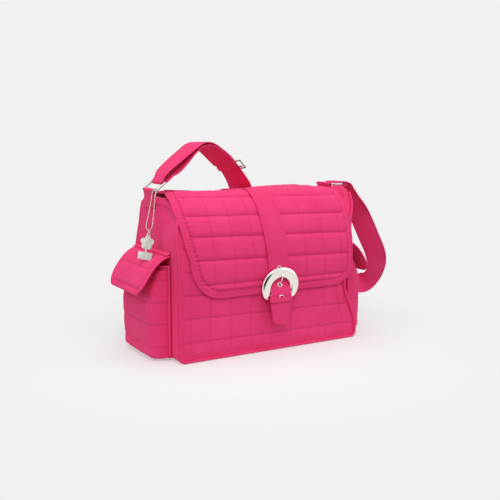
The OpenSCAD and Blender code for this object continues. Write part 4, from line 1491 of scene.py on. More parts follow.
@dataclass
class SidePocket:
    """Side pocket with its hem, piping and padded cover."""

    body: BodyShape
    finishes: Finishes
    side: Side
    half: float = 73.0
    middle: float = 10.0
    low_z: float = 5.0
    top_z: float = 174.0
    belly: float = 39.0
    base: float = 36.0
    mouth: float = 14.0
    belly_z: float = 95.0
    wall: float = 3.0
    gap: float = 0.4
    fold_r: float = 7.0
    side_r: float = 13.0
    hem: float = 8.0
    piping_r: float = 2.5
    step: float = 2.4
    rim_steps: tuple = (0.15, 0.5, 1.1, 2.0, 3.2)
    row_drops: tuple = (20.0, 61.0, 102.0, 143.0, 184.0)
    cover_half: float = 78.0
    cover_t: float = 4.0
    cover_r: float = 22.0
    cover_border: float = 9.0
    cover_rim: tuple = (0.006, 0.016, 0.03, 0.045, 0.065)
    cover_spots: tuple = ((1.4, 191.0), (33.0, 185.0), (61.0, 124.0))
    column_xs: tuple = (-62.0, -20.5, 20.5, 62.0)

    def out(self, z: Array) -> Array:
        """How far the pocket stands out.

        Args:
            z: Height.

        Returns:
            Distance outside the gusset.
        """
        up = (z - self.belly_z) / (self.top_z - self.belly_z)
        down = (z - self.low_z) / (self.belly_z - self.low_z)
        high = self.mouth + (self.belly - self.mouth) * np.cos(np.pi / 2 * np.clip(up, 0, 1))
        low = self.base + (self.belly - self.base) * np.sin(np.pi / 2 * np.clip(down, 0, 1))
        return np.where(z > self.belly_z, high, low)

    def swell(self, a: Array) -> Array:
        """Share of the full depth at a distance along the gusset from the pocket's middle."""
        side = np.clip((np.abs(a) - self.half + self.side_r) / self.side_r, 0, 1)
        return np.sqrt(np.clip(1 - side ** 2, 0, 1)) * (1 - 0.05 * (a / self.half) ** 2)

    def points(self, x: Array, a: Array, z: Array) -> Array:
        """Points from the distance outside the gusset, the place along it and the height."""
        return np.stack([self.side.value * (self.body.half_w + x), self.middle + a, z], -1)

    def build_quilt(self) -> None:
        """Makes the quilted pocket."""
        turn = np.radians(np.linspace(0, 90, 9))[1:-1]
        r = self.fold_r
        flat = np.linspace(self.gap, self.base - r, 8)
        z = np.concatenate([0 * flat + self.low_z, self.low_z + r - r * np.cos(turn),
                            np.linspace(self.low_z + r, self.top_z - self.hem - 0.2, 70)])
        x = np.concatenate([flat, self.base - r + r * np.sin(turn), self.out(z[len(flat) + len(turn):])])
        run = np.concatenate([[0], np.cumsum(np.hypot(np.diff(x), np.diff(z)))])
        a = spaced(-self.half, self.half, self.step, self.rim_steps)
        quilting = Quilting(np.array(self.column_xs), run[-1] - np.array(self.row_drops), 1.3, 0.3,
                            seed=8 + self.side.value)
        ga, gr = np.meshgrid(a, run)
        swell = self.swell(ga)
        puff = quilting.height(ga, gr) * ease((self.half - np.abs(ga)) / 14) * ease(gr / 20)
        gx, gz = np.repeat(x[:, None], len(a), 1), np.repeat(z[:, None], len(a), 1)
        lean = ease((gz - self.low_z) / 12)
        outer = self.points(self.gap + gx * swell + (puff - 1.9) * swell * lean, ga, gz + 0.2 * (1 - swell))
        inner = self.points(self.gap + np.maximum(gx - self.wall, 0) * swell,
                            ga * (1 - self.wall / self.half), np.maximum(gz, self.low_z + self.wall))
        word = self.side.word
        # The last argument is painted shade in the pocket's sewn channels, fading out towards the bottom.
        piece = slab(f"{word}_pocket_quilt", outer, inner, quilting.seam(ga, gr) * ease(gr / 20))
        dress(piece, self.finishes.quilt, "quilt", f"{word}_pocket")
        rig.padded(piece, 0.35)
        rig.ride(piece, "bag")

    def build_edges(self) -> None:
        """Makes the hem of the mouth, its stitches and the piping along both sides."""
        f, word = self.finishes, self.side.word
        a = spaced(-self.half + 0.2, self.half - 0.2, self.step, self.rim_steps)
        reach = self.gap + (self.mouth - 0.6) * self.swell(a)
        path = self.points(reach, a, 0 * a + self.top_z - self.hem / 2)
        band = Band(path, ALONG_Z, self.hem, 3.2, 2.6)
        piece = dress(band.build(f"{word}_pocket_hem_band"), f.trim, "trim", f"{word}_pocket_hem")
        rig.ride(piece, "bag")
        piece = dress(thread(f"{word}_pocket_hem_stitches", band.stitch_lines()), f.thread, "trim")
        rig.ride(piece, "bag")
        z = np.linspace(self.low_z + 0.5, self.top_z, 60)
        for k, end in enumerate((-1, 1)):
            path = self.points(2.7 + 0 * z, end * (self.half + 3.2) + 0 * z, z)
            piece = tube(f"{word}_pocket_piping_{k}", path, self.piping_r, uneven=0.05)
            dress(piece, f.trim, "trim", *((f"{word}_pocket_piping",) if k == 0 else ()))
            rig.ride(piece, "bag")

    def cover_line(self, u: Array) -> tuple[Array, Array, Array, Array]:
        """Middle line of the cover.

        Args:
            u: Share of its length.

        Returns:
            Distance out, height, and both parts of the way that the outer face looks.
        """
        p = np.array(self.cover_spots)
        w = np.stack([(1 - u) ** 2, 2 * u * (1 - u), u ** 2], -1)
        d = (1 - u)[..., None] * (p[1] - p[0]) + u[..., None] * (p[2] - p[1])
        d = unit(d)
        place = w @ p
        return place[..., 0], place[..., 1], -d[..., 1], d[..., 0]

    def cover_surface(self, a: Array, u: Array, h: Array) -> Array:
        """Points of the cover at a distance from its middle line."""
        x, z, nx, nz = self.cover_line(u)
        return self.points(x + h * nx, a, z + h * nz)

    def build_cover(self) -> None:
        """Makes the padded cover, its stitches and its sewn edge."""
        f, word = self.finishes, self.side.word
        body = f"{word}_pocket_cover"
        x, z, _, _ = self.cover_line(np.linspace(0, 1, 60))
        length = float(np.hypot(np.diff(x), np.diff(z)).sum())
        run = spaced(0, length, 1.8)
        lift = np.clip(run - length + self.cover_r, 0, self.cover_r)
        half = self.cover_half - self.cover_r + np.sqrt(self.cover_r ** 2 - lift ** 2)
        u = spaced(-1, 1, 0.026, self.cover_rim)
        a = u[None, :] * half[:, None]
        gr = np.repeat(run[:, None], len(u), 1)
        e = np.minimum(half[:, None] - np.abs(a), length - gr)
        e = np.where((np.abs(a) > self.cover_half - self.cover_r) & (gr > length - self.cover_r),
                     self.cover_r - np.hypot(np.abs(a) - self.cover_half + self.cover_r,
                                             gr - length + self.cover_r), e)
        quilting = Quilting(np.array(self.column_xs), np.array([-40.0, 50.0, 200]), 1.6, 0.2, seed=11.0)
        inside = ease((e - 8) / 5)
        border = e - self.cover_border
        gather = 0.3 * np.sin((a + gr) / 0.95) * bell(border, 4)
        rise = inside * quilting.height(a, gr) + (1 - inside) * (1.2 + gather - bell(border, 2.2))
        top = -0.4 + (0.4 + rise) * rounded(e, 2.5)
        outer = self.cover_surface(a, gr / length, top)
        inner = self.cover_surface(a, gr / length, -self.cover_t / 2 + 0 * a)
        # Painted shade in the cover's sewn channels and along its border seam, with the thread's darker tone.
        seam = np.maximum(inside * quilting.seam(a, gr), 0.5 * bell(border, 1.2))
        piece = slab(f"{word}_pocket_cover_quilt", outer, inner, seam)
        dress(piece, f.quilt, "quilt", f"{word}_pocket_flap", f"{word}_pocket_binding")
        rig.padded(piece, 0.35)
        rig.ride(piece, body)
        piece = dress(thread(f"{word}_pocket_cover_stitches", self.cover_rows(length)), f.thread, "trim")
        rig.ride(piece, body)
        self.build_cover_edge(body)

    def cover_rows(self, length: float) -> list[tuple[Array, Array]]:
        """Two rows of stitches round the cover.

        Args:
            length: Length of the cover.

        Returns:
            Paths and face directions.
        """
        rows = []
        t = np.radians(np.linspace(0, 90, 20))
        down = np.linspace(4, length - self.cover_r, 30)[:-1]
        for inset in (3.5, self.cover_border):
            r, c = self.cover_r - inset, self.cover_half - self.cover_r
            right = np.concatenate([np.stack([0 * down + self.cover_half - inset, down], 1),
                                    np.stack([c + r * np.cos(t), length - self.cover_r + r * np.sin(t)], 1)])
            a, along = np.concatenate([right, right[::-1] * [-1, 1]]).T
            path = self.cover_surface(a, along / length, 0.6 + 0 * a)
            rows.append((path, self.cover_surface(a, along / length, 1.6 + 0 * a) - path))
        return rows

    def build_cover_edge(self, body: str) -> None:
        """Makes the tape that joins the cover to the gusset.

        Args:
            body: Body of the cover.
        """
        a = np.linspace(-self.cover_half + 1, self.cover_half - 1, 60)
        curve = smooth([[0.4, 198], [0.6, 196.2], [1.2, 194.8], [2.6, 193.8], [5.0, 193.0], [7.5, 192.2]], 4)
        d = headings(curve)
        look = np.stack([-d[:, 1], d[:, 0]], 1)
        gx, gz = (np.repeat(curve[:, k][:, None], len(a), 1) for k in (0, 1))
        ga = np.repeat(a[None, :], len(curve), 0)
        outer = self.points(gx + look[:, :1] * 0.7, ga, gz + look[:, 1:] * 0.7)
        piece = slab(f"{self.side.word}_pocket_cover_edge", outer, self.points(gx, ga, gz))
        dress(piece, self.finishes.trim, "trim")
        x = self.side.value * (self.body.half_w + 1) * MM
        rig.blend(piece, "bag", body, (x, 0, 198 * MM), (x + self.side.value * 6 * MM, 0, 193 * MM))

    def build(self) -> None:
        """Makes the pocket and its cover."""
        self.build_quilt()
        self.build_edges()
        self.build_cover()


@dataclass
class Closing:
    """Closing strap with its eyelets, buckle and keeper."""

    body: BodyShape
    finishes: Finishes
    flap: Flap
    width: float = 45.0
    thick: float = 2.5
    flap_out: float = 7.6
    gap: float = 0.3
    bow: float = 7.7
    bow_top: float = 135.0
    heel_z: float = 108.5
    heel_out: float = 5.0
    tail_z: float = 52.0
    stitch_end_z: float = 75.0
    tail_rises: tuple = (0, 1.0, 2.4, 6, 13, 22, 35)
    tail_widths: tuple = (17, 22, 26, 31, 36.5, 40.5)
    frame_w: float = 74.0
    frame_tall: float = 63.0
    frame_drop: float = 10.0
    frame_t: float = 6.0
    frame_lean: float = 7.0
    crescent_h: float = 19.6
    window_w: float = 49.6
    window_tall: float = 52.8
    eyelet_zs: tuple = (158.5, 127.0, 104.5)
    askew: float = 6.5
    eyelet_hole: float = 3.2
    eyelet_r: float = 4.8
    heel_r: float = 1.3
    prong_r: float = 1.15
    tab_shift: float = 12.5
    tab_w: float = 17.0

    @property
    def heel_y(self) -> float:
        """Depth of the heel bar."""
        return -self.body.half_d - self.flap_out - self.heel_out

    @property
    def heel(self) -> tuple[float, float, float]:
        """Middle of the heel bar in metres."""
        return self.askew * MM, self.heel_y * MM, self.heel_z * MM

    def strap_out(self, z: Array) -> Array:
        """Distance of the strap's inner face from the flap at a height on the front."""
        return self.gap + self.bow * ease((self.bow_top - z) / (self.bow_top - self.heel_z))

    def shift(self, z: Array) -> Array:
        """How far the strap hangs off the middle at a height on the front."""
        return self.askew * ease((275 - z) / 130)

    def middle(self) -> Array:
        """Middle line of the strap from the sewn edge to the tail.

        Returns:
            Depths and heights.
        """
        b = self.body
        over = np.linspace(self.flap.s_hinge, b.run_to_height(b.shoulder), 150)
        y, z = b.at(over, 0 * over + self.flap_out + self.gap + self.thick / 2)
        z = z - self.flap.sag(0 * y, y)
        down = np.linspace(b.shoulder, self.tail_z, 90)[1:]
        front = -b.half_d - self.flap_out - self.strap_out(down) - self.thick / 2
        return np.concatenate([np.stack([y, z], 1), np.stack([front, down], 1)])

    def build_strap(self) -> None:
        """Makes the strap with its tapered tail and real eyelet holes."""
        line = self.middle()
        z = np.where(line[:, 0] < -18, line[:, 1], 300)
        path = np.stack([self.shift(z), line[:, 0], line[:, 1]], 1)
        width = np.interp(z - self.tail_z, self.tail_rises, (*self.tail_widths, self.width))
        piece = Band(path, ALONG_X, width, self.thick).build("closing_strap")
        for place, turn in map(self.eyelet_place, self.eyelet_zs):
            bpy.ops.mesh.primitive_cylinder_add(vertices=24, radius=self.eyelet_hole * MM, depth=12 * MM,
                                                location=place, rotation=(turn, 0, 0))
            punch = bpy.context.active_object
            finish_with(piece, "BOOLEAN", operation="DIFFERENCE", object=punch, solver="EXACT")
            bpy.data.objects.remove(punch)
        dress(piece, self.finishes.trim, "trim", "closure_strap_top", "closure_strap")
        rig.blend(piece, "flap", "flap_front", self.flap.fold_start, self.flap.fold_end)
        keep = path[:, 2] >= self.stitch_end_z
        part = Band(path[keep], ALONG_X, width[keep], self.thick)
        piece = thread("closing_strap_stitches", part.stitch_lines((1,)))
        dress(piece, self.finishes.thread, "trim")
        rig.blend(piece, "flap", "flap_front", self.flap.fold_start, self.flap.fold_end)

    def eyelet_place(self, z: float) -> tuple[tuple, float]:
        """Place of an eyelet on the strap's outer face.

        Args:
            z: Height of the eyelet.

        Returns:
            Its place in metres, and its turn about X.
        """
        line = self.middle()
        front = line[line[:, 0] < -60]
        order = np.argsort(front[:, 1])
        y = np.interp([z - 1, z, z + 1], front[order, 1], front[order, 0])
        lean = math.atan2(y[2] - y[0], 2.0)
        out = self.thick / 2
        place = (self.shift(z), y[1] - out * math.cos(lean), z + out * math.sin(lean))
        return tuple(float(c) * MM for c in place), math.pi / 2 - lean

    def build_eyelets(self) -> None:
        """Makes the three rolled eyelets."""
        rings = []
        for place, turn in map(self.eyelet_place, self.eyelet_zs):
            mid = (self.eyelet_r + self.eyelet_hole) / 2
            bpy.ops.mesh.primitive_torus_add(major_radius=mid * MM, minor_radius=0.8 * MM, major_segments=40,
                                             minor_segments=12, location=place, rotation=(turn, 0, 0))
            rings.append(bpy.context.active_object)
        join_pieces(rings, "eyelet_rings")
        dress(rings[0], self.finishes.chrome, "chrome", "eyelets")
        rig.ride(rings[0], "flap_front")

    def build_buckle(self) -> None:
        """Makes the domed crescent frame, the prong, the cloth tab and the keeper."""
        bpy.ops.curve.primitive_nurbs_path_add()
        crescent = bpy.context.active_object
        line = crescent.data
        line.splines.clear()
        run = line.splines.new("POLY")
        places, halves = self.crescent()
        run.points.add(len(places) - 1)
        for point, (x, z), half in zip(run.points, places, halves):
            point.co = (x * MM, z * MM, 0, 1)
            point.radius = half
        line.bevel_depth = MM
        line.bevel_resolution = 7
        line.use_fill_caps = True
        bpy.ops.object.convert(target="MESH")
        crescent.scale = (1, 1, self.frame_t / self.crescent_h)
        bpy.ops.object.transform_apply(scale=True)
        crescent.location = self.heel
        crescent.rotation_euler = (math.radians(90 + self.frame_lean), 0, 0)
        bpy.ops.mesh.primitive_cylinder_add(vertices=20, radius=self.heel_r * MM,
                                            depth=(self.window_w + 3) * MM, location=self.heel,
                                            rotation=(0, math.pi / 2, 0))
        join_pieces([crescent, bpy.context.active_object], "buckle_crescent")
        dress(crescent, self.finishes.chrome, "chrome", "buckle_frame")
        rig.ride(crescent, "flap_front")
        self.build_prong()
        self.build_chape()
        self.build_keeper()
        for node in ("snap_socket", "snap_stud"):
            keep_node(node, self.finishes.chrome)

    def crescent(self) -> tuple[Array, Array]:
        """Middle line of the crescent from tip to tip.

        Returns:
            Places beside and above the heel bar, and half widths.
        """
        count = 72
        turn = np.radians(np.linspace(-44, 224, count))
        way = np.stack([np.cos(turn), np.sin(turn)], 1)
        outer = [0, self.frame_tall / 2 - self.frame_drop] + way * [self.frame_w / 2, self.frame_tall / 2]
        top = self.frame_tall - self.frame_drop - self.crescent_h
        inner = [0, top - self.window_tall / 2] + way * [self.window_w / 2, self.window_tall / 2]
        tip = np.clip(np.minimum(np.arange(count), np.arange(count)[::-1]) / 4, 0, 1)
        half = np.linalg.norm(outer - inner, axis=1) / 2
        return (outer + inner) / 2, half * np.sqrt(0.25 + 0.75 * tip)

    def build_prong(self) -> None:
        """Makes the cranked prong with its loop on the heel bar."""
        e = self.eyelet_zs[1] - self.heel_z
        mid = float(self.strap_out(np.array(self.eyelet_zs[1]))) + self.thick / 2 - self.heel_out
        lean, rest, over = math.tan(math.radians(self.frame_lean)), 33.4, 3.3
        fine = smooth([[2.75, 0], [3.4, e - 4.2], [-mid - 2.6, e + 2.9], [-rest * lean - over, rest - 1.5],
                       [-(rest + 4) * lean - over, rest + 4]], 6)
        path = np.stack([0 * fine[:, 0] + self.askew, self.heel_y + fine[:, 0], self.heel_z + fine[:, 1]], 1)
        rod = tube("buckle_prong_rod", path, self.prong_r, way=(1, 0, 0))
        bpy.ops.mesh.primitive_torus_add(major_radius=2.1 * MM, minor_radius=0.62 * MM, major_segments=28,
                                         minor_segments=10, location=self.heel, rotation=(0, math.pi / 2, 0))
        loop = bpy.context.active_object
        loop.scale = (1, 1, 3.8)
        join_pieces([rod, loop], "buckle_prong_rod")
        dress(rod, self.finishes.chrome, "chrome", "buckle_prong")
        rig.ride(rod, "prong")

    def build_chape(self) -> None:
        """Makes the two strips of cloth folded round the heel bar."""
        turn = np.radians(np.linspace(60, 330, 30))
        loop = np.stack([2.2 * np.cos(turn), 2.2 * np.sin(turn)], 1)
        up = np.stack([np.linspace(2.9, 3.7, 6), np.linspace(4, 19.5, 6)], 1)
        line = smooth(np.concatenate([up[::-1], [[2.4, 2.2]], loop[2:-2]]), 2)
        strips = []
        for k, x in enumerate((self.askew - self.tab_shift, self.askew + self.tab_shift)):
            path = np.stack([0 * line[:, 0] + x, self.heel_y + line[:, 0], self.heel_z + line[:, 1]], 1)
            strips.append(Band(path, ALONG_X, self.tab_w, 1.0, 2.5).build(f"buckle_tab_{k}"))
        join_pieces(strips, "buckle_tab_cloth")
        dress(strips[0], self.finishes.trim, "trim", "buckle_chape")
        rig.ride(strips[0], "flap_front")

    def build_keeper(self) -> None:
        """Makes the cloth loop that holds the tail."""
        low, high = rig.box("keeper_loop")
        cx, cy = (low.x + high.x) / 2 / MM + self.askew, (low.y + high.y) / 2 / MM
        level = (low.z + high.z) / 2 / MM + 5.0
        w, d, r = (high.x - low.x) / 2 / MM - 0.75, (high.y - low.y) / 2 / MM - 0.75, 2.2
        corners = [(w - r, d - r, 0), (-w + r, d - r, 90), (-w + r, -d + r, 180), (w - r, -d + r, 270)]
        path = []
        for x, y, start in corners:
            for a in np.radians(np.linspace(start, start + 90, 6)):
                path.append([cx + x + r * math.cos(a), cy + y + r * math.sin(a), level])
        path = np.array(path)
        ring = np.concatenate([path[-1:], path, path[:1]])
        n = np.cross(headings(ring)[1:-1], ALONG_Z)
        section = web_profile(5.0, 0.75, 2.2)
        rings = path[:, None] + section[None, :, :1] * ALONG_Z + section[None, :, 1:] * n[:, None]
        piece = dress(skin("keeper_band", rings, closed=True), self.finishes.trim, "trim", "keeper_loop")
        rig.ride(piece, "flap_front")

    def build(self) -> None:
        """Makes everything on the closing strap."""
        self.build_strap()
        self.build_eyelets()
        self.build_buckle()


@dataclass
class ShoulderStrap:
    """Rings, tabs, webbing and slider.

    The webbing starts at the slider's middle bar, runs over to the left ring and back through the slider,
    and goes on behind the bag to the right ring.
    """

    finishes: Finishes
    width: float = 46.0
    thick: float = 2.4
    strap_y: float = 18.0
    fold_r: float = 3.5
    left_bar: tuple = (-179.13, 318.11)
    left_rise: float = 56.0
    lower_rise: float = 36.0
    right_bar: tuple = (222.55, 304.0)
    right_drop: float = 2.0
    right_leg: float = 18.0
    slide_middle: tuple = (-6.3, 61.6, 340.1)
    slide_way: tuple = (0.7, 0.23, -0.68)
    slide_side: tuple = (-0.47, 0.87, -0.16)
    bar_gap: float = 3.5
    slider_w: float = 58.0
    slider_long: float = 24.0
    slider_t: float = 2.7
    soft_edge: float = 0.7
    slider_shift: float = -4.5
    fold_t: float = 0.9
    bar_r: float = 1.75
    tab_bar: tuple = (198.55, 304.0)
    tab_r: float = 2.9
    tab_t: float = 1.1
    tab_zs: tuple = (271.0, 280.0, 288.0, 294.0)

    def __post_init__(self) -> None:
        """Sets up the straight run through the slider: its middle, way, width and inner face."""
        self.middle = np.array(self.slide_middle)
        self.way = unit(np.array(self.slide_way))
        side = np.array(self.slide_side)
        self.across = unit(side - side.dot(self.way) * self.way)
        self.out = np.cross(self.across, self.way)

    def slide(self, along: float, out: float) -> list:
        """Station on the straight run."""
        return [*(self.middle + along * self.way + out * self.out), *self.across]

    def leg(self, bar: tuple, angle: float, side: int, along: float) -> list:
        """Station on a leg of a fold.

        Args:
            bar: Place of the ring's bar, across and up.
            angle: Slope of the leg in degrees.
            side: Side of the bar, 1 for the upper leg and -1 for the lower one.
            along: Distance from the bar.

        Returns:
            Place, then the way the width runs.
        """
        a = math.radians(angle)
        x = bar[0] - side * self.fold_r * math.sin(a) + along * math.cos(a)
        z = bar[1] + side * self.fold_r * math.cos(a) + along * math.sin(a)
        return [x, self.strap_y, z, 0, 1, 0]

    def turn(self, bar: tuple, upper: float, lower: float) -> list:
        """Stations round a ring's bar.

        Args:
            bar: Place of the bar, across and up.
            upper: Slope of the upper leg in degrees.
            lower: Slope of the lower leg in degrees.

        Returns:
            Stations from the upper leg to the lower one.
        """
        r = self.fold_r
        return [[bar[0] + r * math.cos(a), self.strap_y, bar[1] + r * math.sin(a), 0, 1, 0]
                for a in np.radians(np.linspace(upper + 90, lower + 270, 9))]

    def routes(self) -> tuple[Array, Array]:
        """Stations of the arch, from the slider round the left ring and back, and of the long run.

        Returns:
            Stations of both, each a place and the way the width runs.
        """
        left = (self.left_bar, self.left_rise)
        upper = [self.leg(*left, 1, d) for d in (3, 8, 12)] + [
            [-166.7, 20.5, 339.7, -0.1, 0.99, 0.02], [-143.3, 25, 357, -0.14, 0.99, 0.07],
            [-116.3, 31, 375.1, -0.15, 0.99, 0.08], [-98.4, 36, 385.9, -0.2, 0.98, 0.05],
            [-82, 41, 390.1, -0.17, 0.99, -0.02], [-66.1, 45.5, 384.2, -0.2, 0.95, -0.24],
            [-45.5, 51, 371.1, -0.33, 0.9, -0.3], [-24, 57, 355.4, -0.39, 0.84, -0.34], self.slide(-5, 0)]
        lower = [self.leg(self.left_bar, self.lower_rise, -1, d) for d in (3, 8, 12)] + [
            [-160.4, 22, 328.2, -0.1, 0.99, 0.02], [-145, 25, 338.2, -0.14, 0.99, 0.07],
            [-124.7, 30.5, 355.6, -0.15, 0.99, 0.08], [-107.5, 36, 371.6, -0.2, 0.98, 0.05],
            [-91, 40.2, 382, -0.17, 0.99, -0.02], [-67.6, 44.3, 379.4, -0.2, 0.95, -0.24],
            [-47, 49.5, 367.6, -0.33, 0.9, -0.3], [-25.6, 55.2, 352.3, -0.39, 0.84, -0.34],
            self.slide(-14, self.bar_gap), self.slide(-8, self.bar_gap)]
        arch = lower[::-1] + self.turn(*left, self.lower_rise)[::-1] + upper
        right = (self.right_bar, -self.right_drop)
        start = [self.slide(-5, 0), self.slide(4, 0), [16.6, 70.5, 314.6, -0.68, 0.73, -0.09],
                 [29.5, 78, 297, -0.9, 0.42, -0.06], [33, 83, 283, -1, 0, -0.1]]
        run = [[34, 91, 250, 1, 0, 0.2], [42, 99, 212, 1, 0, 0.5], [60, 102, 172, 0.8, 0, 0.8],
               [98, 102.5, 138, 0.5, 0, 1], [146, 103.5, 112, 0.3, 0, 1], [196, 108, 93, 0.15, 0, 1],
               [250, 110.4, 75.8, 0.1, 0.1, 1], [297, 106, 62, 0, 0.9, 0.4], [336, 101, 57, -0.2, 0.95, 0.2],
               [362, 87, 64, -0.5, 0.7, 0.5], [376, 71, 80, -0.9, 0.25, 0.3],
               [378, 56, 108, -0.95, 0.3, -0.08],
               [365, 46, 140, -0.8, 0.58, -0.15], [338, 38, 181, -0.82, 0.57, -0.1],
               [306, 30, 229, -0.75, 0.66, -0.05], [286, 23, 258, -0.4, 0.91, 0.03],
               [272, 20, 277, -0.15, 0.99, 0.08], [260, 18.5, 294, 0, 1, 0.05], [252, 18, 302.5, 0, 1, 0]]
        run += [self.leg(*right, 1, d) for d in (self.right_leg, 12, 4)]
        run += self.turn(*right, -self.right_drop)
        run += [self.leg(*right, -1, d) for d in (4, 12, self.right_leg)]
        behind = np.array(run, float) * [1, 1, 1, -1, -1, -1]
        return np.array(arch, float), np.concatenate([np.array(start, float), behind])

    def webbing(self, stations: Array, thick: float) -> Band:
        """Smooth webbing through stations."""
        fine = smooth(stations, 6)
        return Band(fine[:, :3], fine[:, 3:], self.width, thick)

    def build(self) -> None:
        """Makes the webbing, the tabs and the finish of the metal pieces."""
        f = self.finishes
        arch, run = self.routes()
        before, behind = (tuple(MM * (self.middle - d * self.way)) for d in (10, 3))
        runs = {"arch_webbing": (arch, self.thick, ("strap_left_loop", "strap_outer_run", "strap_inner_run"),
                                 ("bag", "strap_arch", (-0.1803, 0.018, 0.3177), (-0.1745, 0.018, 0.3235))),
                "long_webbing": (run, self.thick, ("strap_back_run", "strap_side_run", "strap_right_loop"),
                                 ("strap_arch", "bag", (0.0285, 0.0775, 0.2985), (0.0335, 0.086, 0.270))),
                "slider_fold": (self.fold(), self.fold_t, ("strap_slider_loop",),
                                ("strap_arch", "slider", before, behind))}
        for name, (stations, thick, nodes, (a, b, start, end)) in runs.items():
            band = self.webbing(stations, thick)
            piece = dress(band.build(name), f.webbing, "webbing", *nodes)
            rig.blend(piece, a, b, start, end)
            if name != "slider_fold":
                piece = dress(thread(f"{name}_stitches", band.stitch_lines()), f.thread, "webbing")
                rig.blend(piece, a, b, start, end)
        for side in Side:
            self.build_tab(side)
            keep_node(f"{side.word}_ring", f.steel)
        self.build_slider()

    def build_slider(self) -> None:
        """Makes the slider: a middle bar on the inner face, two bars on the outer one and two sides."""
        t, w, far = self.slider_t, self.slider_w, 0.7 - self.bar_gap
        pieces = [(0, 0, self.bar_gap, w, t, t)]
        for end in (-1, 1):
            pieces.append((end * (self.slider_long - t) / 2, 0, far, w, t, t))
            pieces.append((0, end * (w - t) / 2, far, t, self.slider_long, t))
            pieces.append((0, end * (w - t) / 2, 0, t, t, 2 * self.bar_gap))
        turn = Matrix([self.across, self.way, self.out]).transposed().to_euler()
        bars = []
        for along, side, out, wide, long, deep in pieces:
            place = self.middle + along * self.way + (side + self.slider_shift) * self.across + out * self.out
            bpy.ops.mesh.primitive_cube_add(size=MM, location=place * MM, rotation=turn)
            bar = bpy.context.active_object
            bar.scale = (wide, long, deep)
            bpy.ops.object.transform_apply(location=True, rotation=True, scale=True)
            finish_with(bar, "BEVEL", width=self.soft_edge * MM, segments=3)
            bars.append(bar)
        join_pieces(bars, "slider_frame")
        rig.ride(dress(bars[0], self.finishes.steel, "chrome", "strap_slider"), "slider")

    def fold(self) -> Array:
        """Stations of the webbing's end that is folded round the slider's middle bar.

        Returns:
            Stations, each a place and the way the width runs.
        """
        gap, r = self.bar_gap, self.bar_r
        spots = [self.slide(-10, gap + r), self.slide(-5, gap + r)]
        for a in np.radians(np.linspace(90, -90, 9)):
            spots.append(self.slide(r * math.cos(a), gap + r * math.sin(a)))
        spots.append(self.slide(-5, gap - r))
        return np.array(spots, float)

    def build_tab(self, side: Side) -> None:
        """Makes the tab that holds a ring on its gusset.

        Args:
            side: Hand of the tab.
        """
        x, z = self.tab_bar
        turn = np.radians(np.linspace(-40, 220, 14))
        hook = [[x + self.tab_r * math.cos(a), z + self.tab_r * math.sin(a)] for a in turn]
        outer = [[x + 0.72, level] for level in self.tab_zs]
        inner = [[x - 0.62, level] for level in self.tab_zs[::-1]]
        line = smooth(outer + hook + inner, 3)
        path = np.stack([side.value * line[:, 0], 0 * line[:, 0] + self.strap_y, line[:, 1]], 1)
        band = Band(path, ALONG_Y, self.width, self.tab_t)
        piece = dress(band.build(f"{side.word}_tab_cloth"), self.finishes.trim, "trim", f"{side.word}_tab")
        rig.ride(piece, "bag")


@dataclass
class Charm:
    """Ball chain with its charm."""

    finishes: Finishes
    bar: tuple = (-198.55, 304.0)
    turn_r: float = 4.25
    bead_r: float = 1.2
    bead_step: float = 3.2
    wire_r: float = 0.42
    soft_edge: float = 0.7
    sharp_angle: float = 40.0
    charm_shift: tuple = (-3 * MM, -12 * MM, -3 * MM)

    def beads(self) -> Array:
        """Places of the beads along the chain.

        Returns:
            One point for each bead.
        """
        x, z, r = self.bar[0], self.bar[1], self.turn_r
        route = [[x, -9.4, z + r], [x - r, -9.4, z], [x - 7, -7.5, z - 16], [x - 15, -13, z - 42],
                 [x - 23.6, -20.8, z - 63.4], [x - 19.4, -24.5, z - 71], [x - 15.2, -28.2, z - 63.4],
                 [x - 10, -24, z - 42], [x - 4.5, -17.5, z - 19], [x - 1, -12.5, z - 7], [x + r, -9.6, z - 1],
                 [x + 0.75 * r, -9.5, z + 0.75 * r], [x, -9.4, z + r]]
        line = smooth(route, 6)
        run = run_along(line)
        count = int(run[-1] // self.bead_step)
        return point_at(line, run, run[-1] * np.arange(count) / count)

    def build(self) -> None:
        """Makes the chain and the charm."""
        f = self.finishes
        bpy.ops.mesh.primitive_uv_sphere_add(segments=12, ring_count=8, radius=self.bead_r * MM)
        ball = bpy.context.active_object
        shape = np.array([v.co for v in ball.data.vertices]) / MM
        quads = [list(p.vertices) for p in ball.data.polygons]
        bpy.data.objects.remove(ball)
        spots = self.beads()
        points = np.concatenate([shape + p for p in spots])
        faces = [[v + k * len(shape) for v in q] for k in range(len(spots)) for q in quads]
        beads = place_mesh("chain_beads", points, faces)
        loop = np.concatenate([spots, spots[:1]])
        wire = tube("chain_wire", loop, self.wire_r, way=(0.3, 0.2, 0.05), around=6)
        join_pieces([beads, wire], "chain_beads")
        dress(beads, f.old_silver, "old_silver", "ball_chain")
        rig.ride(beads, "chain_and_charm")
        for node, name in (("jump_ring", "charm_ring"), ("charm", "charm_flower")):
            piece = copy_node(node, name)
            piece.location = self.charm_shift
            bpy.ops.object.transform_apply(location=True)
            if node == "charm":
                finish_with(piece, "BEVEL", width=self.soft_edge * MM, segments=3, limit_method="ANGLE",
                            angle_limit=math.radians(self.sharp_angle))
            shade_by_angle(piece, self.sharp_angle)
            dress(piece, f.old_silver, "old_silver", node)
            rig.ride(piece, "chain_and_charm")


